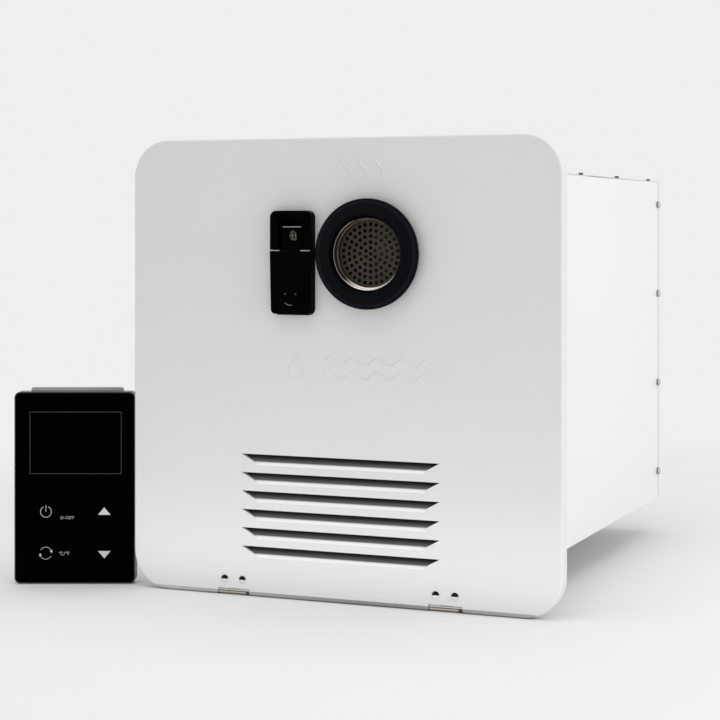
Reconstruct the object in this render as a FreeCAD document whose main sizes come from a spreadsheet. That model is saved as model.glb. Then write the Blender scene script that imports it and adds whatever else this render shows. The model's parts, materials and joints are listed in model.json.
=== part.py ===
import FreeCAD, Part
import Sketcher
import os
import re
from FreeCAD import Placement, Rotation, Vector

# Built-in tankless propane water heater with a bottom-hinged access door and a wall controller.
# Millimetres. The origin is the centre of the flange's screw pattern, on the flange's back face.
# +X is to the right seen from the front, +Y goes into the wall and +Z is up.

document = FreeCAD.newDocument("tankless_water_heater")
sheet = document.addObject("Spreadsheet::Sheet", "Dims")

# Driving dimensions: alias, size in millimetres or degrees, meaning.
SIZES = [
    ("casing_width", 317.5, "outside width of the casing box"),
    ("casing_height", 317.5, "outside height of the casing box"),
    ("casing_depth", 433, "flange back face to the rear panel's outer face"),
    ("casing_sheet", 1.5, "sheet thickness of the casing"),
    ("casing_lip", 14, "inward lip that the covers are screwed to"),
    ("flange_margin", 26, "how far the flange stands out past the casing on each side"),
    ("flange_trim", 3, "how much lower than wide the flange is"),
    ("flange_sheet", 1.5, "sheet thickness of the flange"),
    ("flange_corner", 26, "corner radius of the flange"),
    ("flange_screw_margin", 13.25, "casing side to the flange screw line"),
    ("flange_hole", 5, "diameter of the flange screw holes"),
    ("seal_width", 6, "width of the door seal"),
    ("seal_offset", 4, "casing side to the door seal"),
    ("seal_corner", 10, "outer corner radius of the door seal"),
    ("seal_gap", 0.3, "gap between the seal and the closed door"),
    ("door_overhang", 31.75, "how far the door stands out past the casing on each side"),
    ("door_depth", 12, "front face to the rear edge of the door's lip"),
    ("door_sheet", 1.5, "sheet thickness of the door"),
    ("door_corner", 32, "corner radius of the door"),
    ("door_edge", 1.8, "bend radius of the door's front edge"),
    ("door_drop", 3.2, "door centre below the casing centre"),
    ("louvre_top_width", 176.5, "width of a louvre at its cut edge"),
    ("louvre_bend_width", 146, "width of a louvre at its bend"),
    ("louvre_height", 8.3, "cut edge to bend of a louvre"),
    ("louvre_reach", 5.5, "how far a louvre's flap leans in behind the face"),
    ("louvre_pitch", 15.35, "height from one louvre to the next"),
    ("louvre_first", 75.6, "first cut edge below the casing centre"),
    ("exhaust_x", 28, "exhaust axis to the right of the centre"),
    ("exhaust_z", 91.8, "exhaust axis above the centre"),
    ("exhaust_radius", 30, "outer radius of the exhaust pipe"),
    ("exhaust_wall", 1.2, "wall of the exhaust pipe"),
    ("exhaust_rim", 0.7, "section radius of the pipe's rolled rim"),
    ("exhaust_proud", 6.1, "middle of the rolled rim in front of the door face"),
    ("grille_depth", 7.4, "grille face behind the rolled rim"),
    ("grille_sheet", 1, "thickness of the perforated grille"),
    ("collar_depth", 3.5, "length of the collar in front of the grille"),
    ("collar_wall", 1.5, "wall of the collar in front of the grille"),
    ("grille_hole", 3.1, "diameter of a grille hole"),
    ("grille_pitch", 4.8, "radial pitch of the rings of grille holes"),
    ("ring_radius", 45, "outer radius of the exhaust seal ring"),
    ("ring_gap", 1.2, "gap between the seal ring and the rolled rim"),
    ("ring_brim", 5, "width of the seal ring's flat outer brim"),
    ("ring_shoulder_height", 6, "height of the shoulder that carries the brim in front of the door"),
    ("ring_shoulder", 2.6, "shoulder's radius less than the seal ring's outer radius"),
    ("ring_brim_height", 3.5, "thickness of the seal ring's brim"),
    ("ring_cone_height", 2.7, "height of the cone in front of the brim"),
    ("ring_lip", 2.6, "width of the ring's lip round the pipe"),
    ("ring_neck", 4, "door hole radius less than the seal ring's outer radius"),
    ("ring_clip", 2, "thickness of the seal ring's lip behind the door"),
    ("louvre_bend", 3, "bend radius of a louvre"),
    ("latch_x", 39.4, "latch axis to the left of the centre"),
    ("latch_z", 84, "latch centre above the centre"),
    ("latch_width", 37.4, "width of the latch bezel"),
    ("latch_height", 86, "height of the latch bezel"),
    ("latch_corner", 5.5, "corner radius of the latch bezel"),
    ("latch_bezel", 2, "thickness of the latch bezel behind the paddle"),
    ("latch_brow", 6.6, "how much further the bezel stands out above the paddle"),
    ("latch_edge", 0.8, "rounding of the latch's front edges"),
    ("latch_pin_inset", 3, "latch's side to the end of the paddle's pin"),
    ("latch_depth", 9, "depth of the latch pocket behind the bezel"),
    ("latch_wall", 1.6, "wall of the latch pocket"),
    ("latch_rim", 7, "width of the latch bezel round its pocket"),
    ("latch_door_gap", 0.4, "gap between the latch pocket and the door cut-out"),
    ("paddle_thick", 5.4, "thickness of the paddle at its pin"),
    ("paddle_rise", 2.1, "how much thicker the paddle is at its top"),
    ("paddle_height", 53.3, "height of the paddle's plate"),
    ("paddle_gap", 0.3, "running gap round the paddle"),
    ("tongue_width", 17, "width of the paddle's tongue"),
    ("tongue_height", 19.4, "height of the tongue above the paddle"),
    ("tongue_thick", 3, "thickness of the tongue"),
    ("tongue_corner", 0.8, "corner radius of the tongue"),
    ("finger_width", 8, "width of the paddle's finger for the bolt"),
    ("finger_height", 4, "height of the paddle's finger"),
    ("finger_gap", 1.5, "gap between the finger and the pocket floor"),
    ("window_width", 8.2, "width of the tongue's arched window"),
    ("window_height", 8, "height of the arched window"),
    ("window_margin", 3.3, "arched window below the tongue's top"),
    ("cap_radius", 6.8, "radius of the round cap on the paddle"),
    ("cap_height", 0.8, "height of the round cap"),
    ("cap_rise", 14.5, "cap centre above the paddle's bottom"),
    ("cap_dot_spacing", 9.6, "spacing of the cap's two spanner holes"),
    ("cap_dot", 0.9, "radius of a spanner hole"),
    ("cap_dot_rise", 2.6, "spanner holes above the cap's centre"),
    ("cap_seat", 3, "cap's seat in front of the paddle's back"),
    ("paddle_pin", 1.2, "radius of the paddle's pin"),
    ("ear_radius", 1.9, "radius of the bezel's ears for the pin"),
    ("ear_width", 3.4, "width of a bezel ear"),
    ("ear_spacing", 27, "distance between the bezel ears"),
    ("clearance", 0.05, "radial clearance of pins and shafts in their bores"),
    ("bolt_width", 12, "width of the latch bolt"),
    ("bolt_thick", 2, "thickness of the latch bolt"),
    ("bolt_length", 56, "length of the latch bolt"),
    ("bolt_corner", 1.5, "corner radius of the latch bolt"),
    ("bolt_rise", 3.4, "latch bolt above the latch pocket"),
    ("bolt_gap", 0.4, "gap between the latch bolt and its keeper"),
    ("guide_width", 3, "width of a rail that guides the latch bolt"),
    ("guide_length", 40, "length of the bolt's guide rails"),
    ("guide_hook", 2, "how far a guide rail reaches over the bolt"),
    ("guide_sheet", 1.2, "thickness of a guide rail's hook"),
    ("lock_radius", 4.4, "radius of the lock cylinder"),
    ("lock_height", 8, "lock cylinder in front of the pocket floor"),
    ("lock_boss", 1.8, "wall of the boss round the lock cylinder"),
    ("key_way_width", 1.4, "width of the lock's key way"),
    ("key_way_height", 5.6, "height of the lock's key way"),
    ("hinge_left", 95.6, "left hinge to the left of the centre"),
    ("hinge_right", 93.1, "right hinge to the right of the centre"),
    ("hinge_width", 27.6, "length of a hinge along its axis"),
    ("hinge_middle", 9, "length of a hinge's middle knuckle"),
    ("hinge_knuckle", 1.95, "outer radius of a hinge knuckle"),
    ("hinge_pin", 1, "radius of a hinge pin"),
    ("hinge_leaf", 1.2, "sheet thickness of a hinge leaf"),
    ("hinge_gap", 0.3, "running gap between hinge knuckles"),
    ("hinge_inset", 2, "hinge axis behind the door's front face"),
    ("hinge_rise", 2.5, "hinge axis above the door's bottom edge"),
    ("hinge_leaf_height", 17, "height of a hinge leaf above the axis"),
    ("rivet_spacing", 16.4, "distance between a hinge's two rivets"),
    ("rivet_rise", 10.3, "rivets above the hinge axis"),
    ("rivet_head", 3.1, "radius of a rivet head"),
    ("rivet_height", 1.6, "height of a rivet head"),
    ("rivet_shank", 1.6, "radius of a rivet shank"),
    ("rivet_tail", 1.2, "height of a rivet's tail behind the hinge leaf"),
    ("hinge_screw_inset", 3.2, "hinge screws below the top of the hinge leaf"),
    ("screw_head", 3.5, "radius of a casing screw's head"),
    ("screw_height", 3, "height of a casing screw's head"),
    ("screw_shank", 1.9, "radius of a casing screw's shank"),
    ("screw_length", 6, "length of a casing screw's shank"),
    ("rear_screw_end", 24.7, "casing's top or bottom to the nearest rear panel screw, before the rise"),
    ("rear_screw_rise", 1.5, "how much higher than central the rear panel's screws sit"),
    ("top_screw_first", 51.5, "first top cover screw behind the flange"),
    ("top_screw_last", 18.5, "rear panel's outer face to the last top cover screw"),
    ("stack_width", 150, "width of the heat exchanger and burner stack"),
    ("stack_depth", 140, "depth of the stack"),
    ("stack_front", 60, "front of the stack behind the flange"),
    ("stack_sheet", 1.2, "sheet thickness of the stack"),
    ("collector_rise", 36, "top of the flue collector above the exhaust axis"),
    ("collector_height", 76, "height of the flue collector"),
    ("exchanger_height", 46, "height of the heat exchanger"),
    ("tray_height", 32, "height of the burner tray"),
    ("tube_radius", 6, "outer radius of the water tubes"),
    ("tube_wall", 1, "wall of the water tubes"),
    ("tube_pitch", 28, "spacing of the heat exchanger's tubes"),
    ("fin_sheet", 0.6, "thickness of a heat exchanger fin"),
    ("fin_pitch", 6, "spacing of the fins"),
    ("fin_margin", 4, "heat exchanger's top and bottom to its fins"),
    ("burner_pitch", 23, "spacing of the burner bars"),
    ("burner_width", 14, "width of a burner bar"),
    ("burner_slot", 2, "width of a burner bar's flame slots"),
    ("burner_slot_margin", 2.5, "burner bar's side to its flame slots"),
    ("burner_slot_depth", 8, "depth of the flame slots"),
    ("burner_drop", 3, "burner bars below the top of their tray"),
    ("burner_inset", 8, "stack's front to the burner bars"),
    ("burner_throat", 30, "depth of a burner bar's gas throat"),
    ("manifold_radius", 7, "radius of the gas manifold"),
    ("manifold_gap", 12, "gas manifold axis in front of the stack"),
    ("manifold_inset", 4, "stack's side to the gas manifold's end"),
    ("nozzle_radius", 3, "radius of a gas nozzle"),
    ("nozzle_gap", 1.6, "gap between a nozzle and its burner's throat"),
    ("nozzle_entry", 4, "how far a nozzle reaches into the tray"),
    ("valve_width", 52, "width of the gas valve"),
    ("valve_depth", 50, "depth of the gas valve"),
    ("valve_height", 36, "height of the gas valve"),
    ("valve_left", 140, "left side of the gas valve left of the centre"),
    ("coil_radius", 11, "radius of a gas valve coil"),
    ("coil_height", 24, "height of a gas valve coil"),
    ("coil_stem", 4, "radius and height of the stem above a coil"),
    ("coil_base_rim", 1.5, "how far a coil's base stands out past the coil"),
    ("coil_base_height", 3, "height of a coil's base"),
    ("gas_tube", 5, "radius of the gas tubes"),
    ("gas_tube_wall", 1, "wall of the gas tubes"),
    ("valve_boss_wall", 5, "wall of the gas valve's bosses"),
    ("valve_boss_length", 8, "length of the gas valve's bosses"),
    ("valve_corner", 4, "corner radius of the gas valve"),
    ("bracket_sheet", 2, "sheet thickness of the gas valve's bracket"),
    ("fan_radius", 34, "outer radius of the fan housing"),
    ("fan_depth", 48, "depth of the fan housing"),
    ("fan_gap", 3.05, "gap between the fan housing and the burner tray"),
    ("fan_front", 104, "front of the fan housing behind the flange"),
    ("fan_inlet", 19, "radius of the fan's air inlet"),
    ("fan_sheet", 1.4, "wall of the fan housing"),
    ("fan_foot_height", 6, "height of the fan housing's foot"),
    ("impeller_radius", 28, "radius of the fan impeller"),
    ("impeller_gap", 3, "gap between the impeller and its housing"),
    ("impeller_hub", 8, "radius of the impeller's hub"),
    ("wheel_disc", 1.5, "thickness of a bladed wheel's disc"),
    ("blade_inset", 0.4, "wheel's rim to its blades"),
    ("blade_depth", 9, "radial depth of an impeller blade"),
    ("blade_sheet", 1.2, "thickness of an impeller blade"),
    ("shaft_radius", 2.5, "radius of the fan shaft"),
    ("motor_radius", 21, "radius of the fan motor"),
    ("motor_length", 38, "length of the fan motor"),
    ("motor_corner", 2, "rounding of the motor's rear edge"),
    ("cold_x", 118, "cold water line left of the centre"),
    ("hot_x", 126, "hot water line right of the centre"),
    ("pipe_bend", 15, "bend radius of the water lines"),
    ("sensor_radius", 12, "radius of the flow sensor"),
    ("sensor_length", 30, "length of the flow sensor"),
    ("sensor_wall", 2.5, "wall round the turbine"),
    ("sensor_end", 3, "wall at the flow sensor's ends"),
    ("sensor_corner", 1.5, "rounding of the flow sensor's end"),
    ("spider_height", 4, "height of the arms that hold the turbine's spindle"),
    ("spider_start", 4, "flow sensor's end to the spindle's arm"),
    ("spider_depth", 2.5, "thickness of a spindle's arm"),
    ("spindle_radius", 1, "radius of the turbine's spindle"),
    ("spindle_inset", 4.2, "flow sensor's end to the spindle"),
    ("turbine_gap", 0.8, "gap between the turbine and the flow sensor's bore"),
    ("turbine_start", 7.2, "flow sensor's end to the turbine"),
    ("turbine_width", 14, "length of the turbine's blades"),
    ("turbine_hub", 3, "radius of the turbine's hub"),
    ("turbine_boss", 2.4, "radius of the turbine's boss round the spindle"),
    ("turbine_blade", 5, "radial depth of a turbine blade"),
    ("turbine_sheet", 1, "thickness of a turbine blade"),
    ("fitting_radius", 10.65, "outer radius of a half-inch pipe thread"),
    ("fitting_length", 16, "length of a fitting's thread"),
    ("fitting_bore", 7, "bore radius of a fitting"),
    ("fitting_hex", 28, "hexagon of a fitting across its corners"),
    ("fitting_hex_length", 8, "thickness of a fitting's hexagon"),
    ("fitting_relief", 0.5, "gap between a fitting's hexagon and the casing's lip"),
    ("gas_x", 114, "gas inlet left of the centre"),
    ("relief_y", 262, "relief valve behind the flange"),
    ("relief_radius", 9, "radius of the relief valve's body"),
    ("relief_height", 34, "height of the relief valve's body"),
    ("relief_saddle_wall", 2.5, "wall of the relief valve's saddle"),
    ("relief_saddle_length", 24, "length of the relief valve's saddle"),
    ("relief_spout_length", 22, "length of the relief valve's spout"),
    ("relief_spout_less", 2, "spout's radius less than the relief valve's"),
    ("relief_spout_wall", 2, "wall of the relief valve's spout"),
    ("lever_rise", 5, "lever's axis above the relief valve's body"),
    ("lever_eye", 3.2, "radius of the relief lever's eye"),
    ("lever_pin", 1.5, "radius of the relief lever's pin"),
    ("lever_tab", 7.2, "height of the lever's finger tab"),
    ("lever_ear", 2.4, "thickness of the ears that hold the lever"),
    ("lever_ear_gap", 0.5, "gap between the lever and an ear"),
    ("lever_ear_depth", 8, "depth of the ears that hold the lever"),
    ("lever_length", 30, "length of the relief valve's lever"),
    ("lever_width", 8, "width of the relief valve's lever"),
    ("lever_sheet", 1.5, "thickness of the relief valve's lever"),
    ("box_front", 24, "front of the control box behind the flange"),
    ("box_depth", 70, "depth of the control box"),
    ("box_width", 84, "width of the control box"),
    ("box_bottom", 52, "bottom of the control box above the centre"),
    ("box_height", 84, "height of the control box"),
    ("box_sheet", 1.8, "wall of the control box"),
    ("box_corner", 2, "corner radius of the control box's lid"),
    ("post_radius", 3, "radius of the board's posts"),
    ("post_height", 8, "height of the board's posts"),
    ("post_inset", 12, "control box's side to the board's posts"),
    ("board_sheet", 1.6, "thickness of a circuit board"),
    ("board_margin", 2, "gap round the control board"),
    ("switch_width", 22, "width of the power switch"),
    ("switch_height", 30, "height of the power switch"),
    ("switch_rim", 2.4, "rim of the power switch's bezel"),
    ("switch_proud", 2, "how far the switch's rim stands out from the lid"),
    ("switch_depth", 20, "depth of the power switch behind the lid"),
    ("switch_room", 14, "depth of the rocker's room behind the lid"),
    ("switch_wall", 1, "wall of the power switch behind the lid"),
    ("switch_side", 6, "power switch's width and this to the control box's right side"),
    ("switch_rise", 10, "control box's bottom to the power switch"),
    ("rocker_axis", 3, "rocker's axis behind the lid's front"),
    ("rocker_proud", 6, "rocker's flat front ahead of its axis"),
    ("rocker_back", 3, "rocker's flat back behind its axis"),
    ("rocker_pin", 1.2, "radius of the rocker's pin"),
    ("rocker_pin_inset", 0.9, "switch's side to the rocker's pin"),
    ("rocker_pin_gap", 0.5, "gap at the end of the rocker's pin"),
    ("rocker_gap", 0.4, "running gap round the switch's rocker"),
    ("keeper_width", 26, "width of the latch keeper"),
    ("keeper_sheet", 2, "sheet thickness of the latch keeper"),
    ("keeper_inset", 6, "keeper's drop in front of the top cover's opening"),
    ("keeper_foot", 14, "how far the keeper's foot runs under the cover"),
    ("keeper_lip", 8, "height of the keeper's lip"),
    ("grommet_radius", 13, "outer radius of the cable grommet"),
    ("grommet_groove", 3, "depth of the cable grommet's groove"),
    ("grommet_rim", 3, "thickness of a grommet lip"),
    ("grommet_bore_radius", 5, "bore radius of the cable grommet"),
    ("igniter_width", 34, "width of the igniter module"),
    ("igniter_depth", 56, "depth of the igniter module"),
    ("igniter_height", 40, "height of the igniter module"),
    ("igniter_middle", 40, "middle of the igniter module behind the stack's front"),
    ("igniter_corner", 3, "corner radius of the igniter module"),
    ("tower_radius", 4, "radius of an igniter tower"),
    ("tower_height", 9, "height of an igniter tower"),
    ("tower_rise", 9, "igniter towers above and below the module's middle"),
    ("electrode_radius", 1.2, "radius of an electrode rod"),
    ("insulator_radius", 3.6, "radius of an electrode's insulator"),
    ("insulator_length", 18, "length of an electrode's insulator"),
    ("insulator_front", 14, "insulator's front end ahead of the stack"),
    ("electrode_front", 20, "electrode's front end ahead of the stack"),
    ("electrode_length", 36, "length of an electrode"),
    ("electrode_tip", 8, "length of an electrode's bent tip"),
    ("electrode_tip_start", 13, "electrode's tip behind the stack's front"),
    ("electrode_rise", 12, "electrodes above the bottom of the combustion chamber"),
    ("thermostat_radius", 8, "radius of an overheat thermostat"),
    ("thermostat_height", 7, "height of an overheat thermostat"),
    ("thermostat_spacing", 30, "spacing of the overheat thermostats"),
    ("tab_sheet", 0.8, "thickness of a thermostat's terminal"),
    ("tab_width", 5, "width of a thermostat's terminal"),
    ("tab_length", 6, "length of a thermostat's terminal"),
    ("tab_entry", 0.5, "how far a terminal goes into its thermostat"),
    ("controller_width", 104, "width of the wall controller"),
    ("controller_height", 165, "height of the wall controller"),
    ("controller_case", 13, "depth of the wall controller's case"),
    ("controller_corner", 5, "corner radius of the wall controller"),
    ("controller_wall", 2, "wall of the wall controller's case"),
    ("controller_glass", 2.5, "thickness of the wall controller's front"),
    ("screen_depth", 3, "depth of the screen module"),
    ("key_radius", 6, "radius of a touch key's pad"),
    ("socket_width", 22, "width of the controller's socket"),
    ("socket_height", 10, "height of the controller's socket"),
    ("socket_contact", 3, "width of a socket's contact"),
    ("contact_pitch", 7, "spacing of the socket's contacts"),
    ("contact_depth", 6, "depth of the socket's contacts"),
    ("controller_chip", 14, "width of the controller's chip"),
    ("controller_post", 2.5, "radius of the controller's posts"),
    ("controller_rim", 0.9, "rim of the case round the front"),
    ("unclip_travel", 12, "how far the controller lifts to come off its wall plate"),
    ("controller_mount", 4, "thickness of the controller's wall plate"),
    ("plate_window", 40, "width of the wall plate's window"),
    ("plate_window_margin", 4, "socket to the wall plate's window"),
    ("plate_corner", 2, "corner radius of the wall plate"),
    ("plate_rise", 2.8, "wall plate above the controller's top"),
    ("controller_y", 2, "controller's right front edge in front of the flange's back face"),
    ("controller_gap", 5, "gap between the controller and the door's side"),
    ("controller_screw", 4, "diameter of the wall plate's screw holes"),
    ("controller_screw_spacing", 83.3, "spacing of the wall plate's screw holes"),
    ("screen_left", 13.3, "controller's left side to its screen"),
    ("screen_width", 78.7, "width of the controller's screen"),
    ("screen_top", 17.4, "controller's top to its screen"),
    ("screen_height", 53.3, "height of the controller's screen"),
]

for row, (alias, size, meaning) in enumerate(SIZES, start=1):
    sheet.set("A%d" % row, meaning)
    sheet.set("B%d" % row, str(size))
    sheet.setAlias("B%d" % row, alias)
document.recompute()

ALIAS = re.compile(r"\b(%s)\b" % "|".join(alias for alias, size, meaning in SIZES))
AXIS_TURNS = {"x": Rotation(Vector(0, 1, 0), 90), "y": Rotation(Vector(1, 0, 0), -90), "z": Rotation()}
REACH = 2  # how far a cutting tool runs past the surface that it opens
BOARD_CHIPS = ((16, 58, 18, 12, 16), (44, 56, 14, 14, 10), (62, 40, 12, 20, 18),
               (20, 26, 20, 16, 3), (50, 22, 26, 8, 9))  # place across and up, width, height and depth
LOUVRES = 6
GRILLE_RINGS = 5
FINS = 23
TUBES = 5
BURNERS = 6
FLAME_SLOTS = 9
BLADES = 24
TURBINE_BLADES = 6
CONTROLLER_TURN = 21.72  # degrees that the controller is turned about the vertical
nodes = {}


# ---------------------------------------------------------------- building blocks

def bound(expression):
    """The expression with each alias written as a cell of the sheet."""
    return ALIAS.sub(r"Dims.\1", str(expression))


def value(expression):
    """The present value of an expression."""
    return float(sheet.evalExpression(bound(expression)))


def tie(item, **properties):
    """Bind properties of an object to expressions."""
    for name, expression in properties.items():
        item.setExpression(name, bound(expression))
    return item


def place(item, x=0, y=0, z=0, rotation=None):
    """Bind an object's place to expressions."""
    if rotation is not None:
        item.Placement = Placement(Vector(), rotation)
    for axis, expression in (("x", x), ("y", y), ("z", z)):
        item.setExpression("Placement.Base." + axis, bound(expression))
    return item


def box(name, x, y, z):
    """A box between a low and a high expression on each axis."""
    item = document.addObject("Part::Box", name)
    tie(item, Length="(%s) - (%s)" % (x[1], x[0]), Width="(%s) - (%s)" % (y[1], y[0]),
        Height="(%s) - (%s)" % (z[1], z[0]))
    return place(item, x[0], y[0], z[0])


def rod(name, axis, radius, start, length):
    """A cylinder from a start point along an axis."""
    item = document.addObject("Part::Cylinder", name)
    tie(item, Radius=radius, Height=length)
    return place(item, *start, rotation=AXIS_TURNS[axis])


def cone(name, axis, radius, end_radius, start, length):
    """A cone from a start point along an axis."""
    item = document.addObject("Part::Cone", name)
    tie(item, Radius1=radius, Radius2=end_radius, Height=length)
    return place(item, *start, rotation=AXIS_TURNS[axis])


def bend(name, radius, section, centre, start_turn, sweep):
    """Part of a torus lying flat, from an angle about +Z through a sweep."""
    item = document.addObject("Part::Torus", name)
    tie(item, Radius1=radius, Radius2=section)
    item.Angle3 = sweep
    return place(item, *centre, rotation=Rotation(Vector(0, 0, 1), start_turn))


def fuse(name, *pieces):
    """Pieces joined into one."""
    item = document.addObject("Part::MultiFuse", name)
    item.Shapes = list(pieces)
    return item


def group(name, *pieces):
    """Separate solids under one name."""
    item = document.addObject("Part::Compound", name)
    item.Links = list(pieces)
    return item


def cut(name, base, *tools):
    """A base less its tools."""
    item = document.addObject("Part::Cut", name)
    item.Base = base
    item.Tool = tools[0] if len(tools) == 1 else fuse(name + "_tools", *tools)
    return item


def filleted(name, base, radius, wanted):
    """A base with a fillet on each edge that wanted() picks."""
    document.recompute()
    size = value(radius)
    item = document.addObject("Part::Fillet", name)
    item.Base = base
    item.Edges = [(i, size, size) for i, edge in enumerate(base.Shape.Edges, 1) if wanted(edge)]
    return item


def along(axis):
    """A test for the straight edges that run along an axis."""
    direction = {"x": Vector(1, 0, 0), "y": Vector(0, 1, 0), "z": Vector(0, 0, 1)}[axis]

    def wanted(edge):
        run = edge.lastVertex().Point - edge.firstVertex().Point
        straight = edge.Curve.TypeId == "Part::GeomLine"
        return straight and abs(run.dot(direction)) > 0.999 * run.Length

    return wanted


def in_plane(axis, level):
    """A test for the edges that lie in the plane across an axis at a level."""
    height = value(level)

    def wanted(edge):
        low, high = getattr(edge.BoundBox, axis.upper() + "Min"), getattr(edge.BoundBox, axis.upper() + "Max")
        return abs(low - height) < 0.001 and abs(high - height) < 0.001

    return wanted


def plate(name, x, y, z, radius, axis="y"):
    """A box with its four edges along an axis rounded."""
    return filleted(name, box(name + "_blank", x, y, z), radius, along(axis))


def centred(middle, width):
    """A low and a high expression about a middle."""
    return "(%s) - (%s) / 2" % (middle, width), "(%s) + (%s) / 2" % (middle, width)


def node(name, item):
    """Keep an object as the node of that name."""
    item.Label = name
    nodes[name] = item
    return item


def body_sketch(body, role, name):
    """A sketch on one of a body's own origin planes."""
    sketch = body.newObject("Sketcher::SketchObject", name)
    plane = next(feature for feature in body.Origin.OriginFeatures if feature.Role == role)
    sketch.AttachmentSupport = [(plane, "")]
    sketch.MapMode = "FlatFace"
    return sketch


def sketch_circle(sketch, radius, x=0):
    """A circle on a sketch's horizontal axis, bound to expressions."""
    place_x = value(x)
    index = sketch.addGeometry(Part.Circle(Vector(place_x, 0, 0), Vector(0, 0, 1), value(radius)))
    fixed = sketch.addConstraint(Sketcher.Constraint("Radius", index, value(radius)))
    sketch.setExpression("Constraints[%d]" % fixed, bound(radius))
    across = sketch.addConstraint(Sketcher.Constraint("DistanceX", -1, 1, index, 3, place_x))
    sketch.setExpression("Constraints[%d]" % across, bound(x))
    sketch.addConstraint(Sketcher.Constraint("DistanceY", -1, 1, index, 3, 0.0))


def sketch_rectangle(sketch, low_x, high_x, low_y, high_y):
    """A rectangle in a sketch, bound to expressions."""
    x0, x1, y0, y1 = (value(edge) for edge in (low_x, high_x, low_y, high_y))
    corners = [Vector(x0, y0, 0), Vector(x1, y0, 0), Vector(x1, y1, 0), Vector(x0, y1, 0)]
    for i in range(4):
        sketch.addGeometry(Part.LineSegment(corners[i], corners[(i + 1) % 4]))
    for i in range(4):
        sketch.addConstraint(Sketcher.Constraint("Coincident", i, 2, (i + 1) % 4, 1))
        sketch.addConstraint(Sketcher.Constraint("Vertical" if i % 2 else "Horizontal", i))
    for kind, line, expression in (("DistanceX", 0, low_x), ("DistanceX", 2, high_x),
                                   ("DistanceY", 0, low_y), ("DistanceY", 2, high_y)):
        index = sketch.addConstraint(Sketcher.Constraint(kind, -1, 1, line, 1, value(expression)))
        sketch.setExpression("Constraints[%d]" % index, bound(expression))


def padded(body, sketch, length):
    """A pad of a sketch along its normal."""
    pad = body.newObject("PartDesign::Pad", sketch.Name + "_pad")
    pad.Profile = sketch
    sketch.Visibility = False
    return tie(pad, Length=length)


def polar(body, feature, sketch, count):
    """A feature repeated round a sketch's normal."""
    pattern = body.newObject("PartDesign::PolarPattern", feature.Name + "_ring")
    pattern.Originals = [feature]
    pattern.Axis = (sketch, ["N_Axis"])
    pattern.Angle = 360
    pattern.Occurrences = count
    body.Tip = pattern
    return pattern


# ---------------------------------------------------------------- shared places

HALF_W = "casing_width / 2"
HALF_H = "casing_height / 2"
INNER_W = "(casing_width / 2 - casing_sheet)"
FLOOR = "(casing_sheet - casing_height / 2)"
CEILING = "(casing_height / 2 - casing_sheet)"
REAR = "(casing_depth - casing_sheet)"
LIP_MIDDLE = "(casing_depth - casing_lip / 2)"
REAR_LIP = ("casing_depth - casing_lip", REAR)
REAR_LIP_HIGH = ("casing_lip - " + HALF_H, CEILING + " - casing_lip")
DOOR_FRONT = "(-door_depth)"
DOOR_BACK = "(door_sheet - door_depth)"
DOOR_HALF = "(casing_width / 2 + door_overhang)"
DOOR_LOW = "(-door_drop - casing_height / 2 - door_overhang)"
DOOR_HIGH = "(casing_height / 2 + door_overhang - door_drop)"
HINGE_Y = "(hinge_inset - door_depth)"
HINGE_Z = "(%s + hinge_rise)" % DOOR_LOW
HINGE_SCREW_Z = "(%s + hinge_leaf_height - hinge_screw_inset)" % HINGE_Z
RIM_Y = "(-door_depth - exhaust_proud)"
STACK_LEFT = "(exhaust_x - stack_width / 2)"
STACK_RIGHT = "(exhaust_x + stack_width / 2)"
STACK_BACK = "(stack_front + stack_depth)"
COLLECTOR_TOP = "(exhaust_z + collector_rise)"
EXCHANGER_TOP = "(exhaust_z + collector_rise - collector_height)"
EXCHANGER_LOW = "(%s - exchanger_height)" % EXCHANGER_TOP
TRAY_LOW = "(%s + 2 * fan_radius + fan_gap)" % FLOOR
CHAMBER_LOW = "(%s + tray_height)" % TRAY_LOW
TUBE_Z = "(%s - exchanger_height / 2)" % EXCHANGER_TOP
FIRST_TUBE_Y = "(stack_front + (stack_depth - %d * tube_pitch) / 2)" % (TUBES - 1)
LAST_TUBE_Y = "(stack_front + (stack_depth + %d * tube_pitch) / 2)" % (TUBES - 1)
TUBE_BORE = "(tube_radius - tube_wall)"
MANIFOLD_Y = "(stack_front - manifold_gap)"
MANIFOLD_Z = "(%s - tray_height / 2)" % CHAMBER_LOW
FITTING_TAIL = "(%s - fitting_hex_length - 1)" % REAR
FITTINGS = (("-cold_x", TUBE_Z), ("hot_x", TUBE_Z), ("-gas_x", MANIFOLD_Z))
FAN_Z = "(%s + fan_radius)" % FLOOR
LATCH_FRONT = "(-door_depth - latch_bezel)"
PADDLE_BACK = "(-door_depth - latch_bezel - paddle_gap)"
PADDLE_LOW = "(latch_z - latch_height / 2 + paddle_gap)"
PADDLE_HIGH = "(%s + paddle_height)" % PADDLE_LOW
PADDLE_PIN_Y = "(%s - paddle_thick / 2)" % PADDLE_BACK
PADDLE_PIN_Z = "(%s + paddle_thick / 2)" % PADDLE_LOW
POCKET_FLOOR = "(-door_depth - latch_bezel + latch_depth)"
BOLT_TOP = "(latch_z + latch_height / 2 - latch_rim + latch_wall + bolt_rise)"
HINGES = (("left", "(-hinge_left)"), ("right", "hinge_right"))
BOLT_FACE = "(%s + latch_wall)" % POCKET_FLOOR


# ---------------------------------------------------------------- casing

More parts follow.
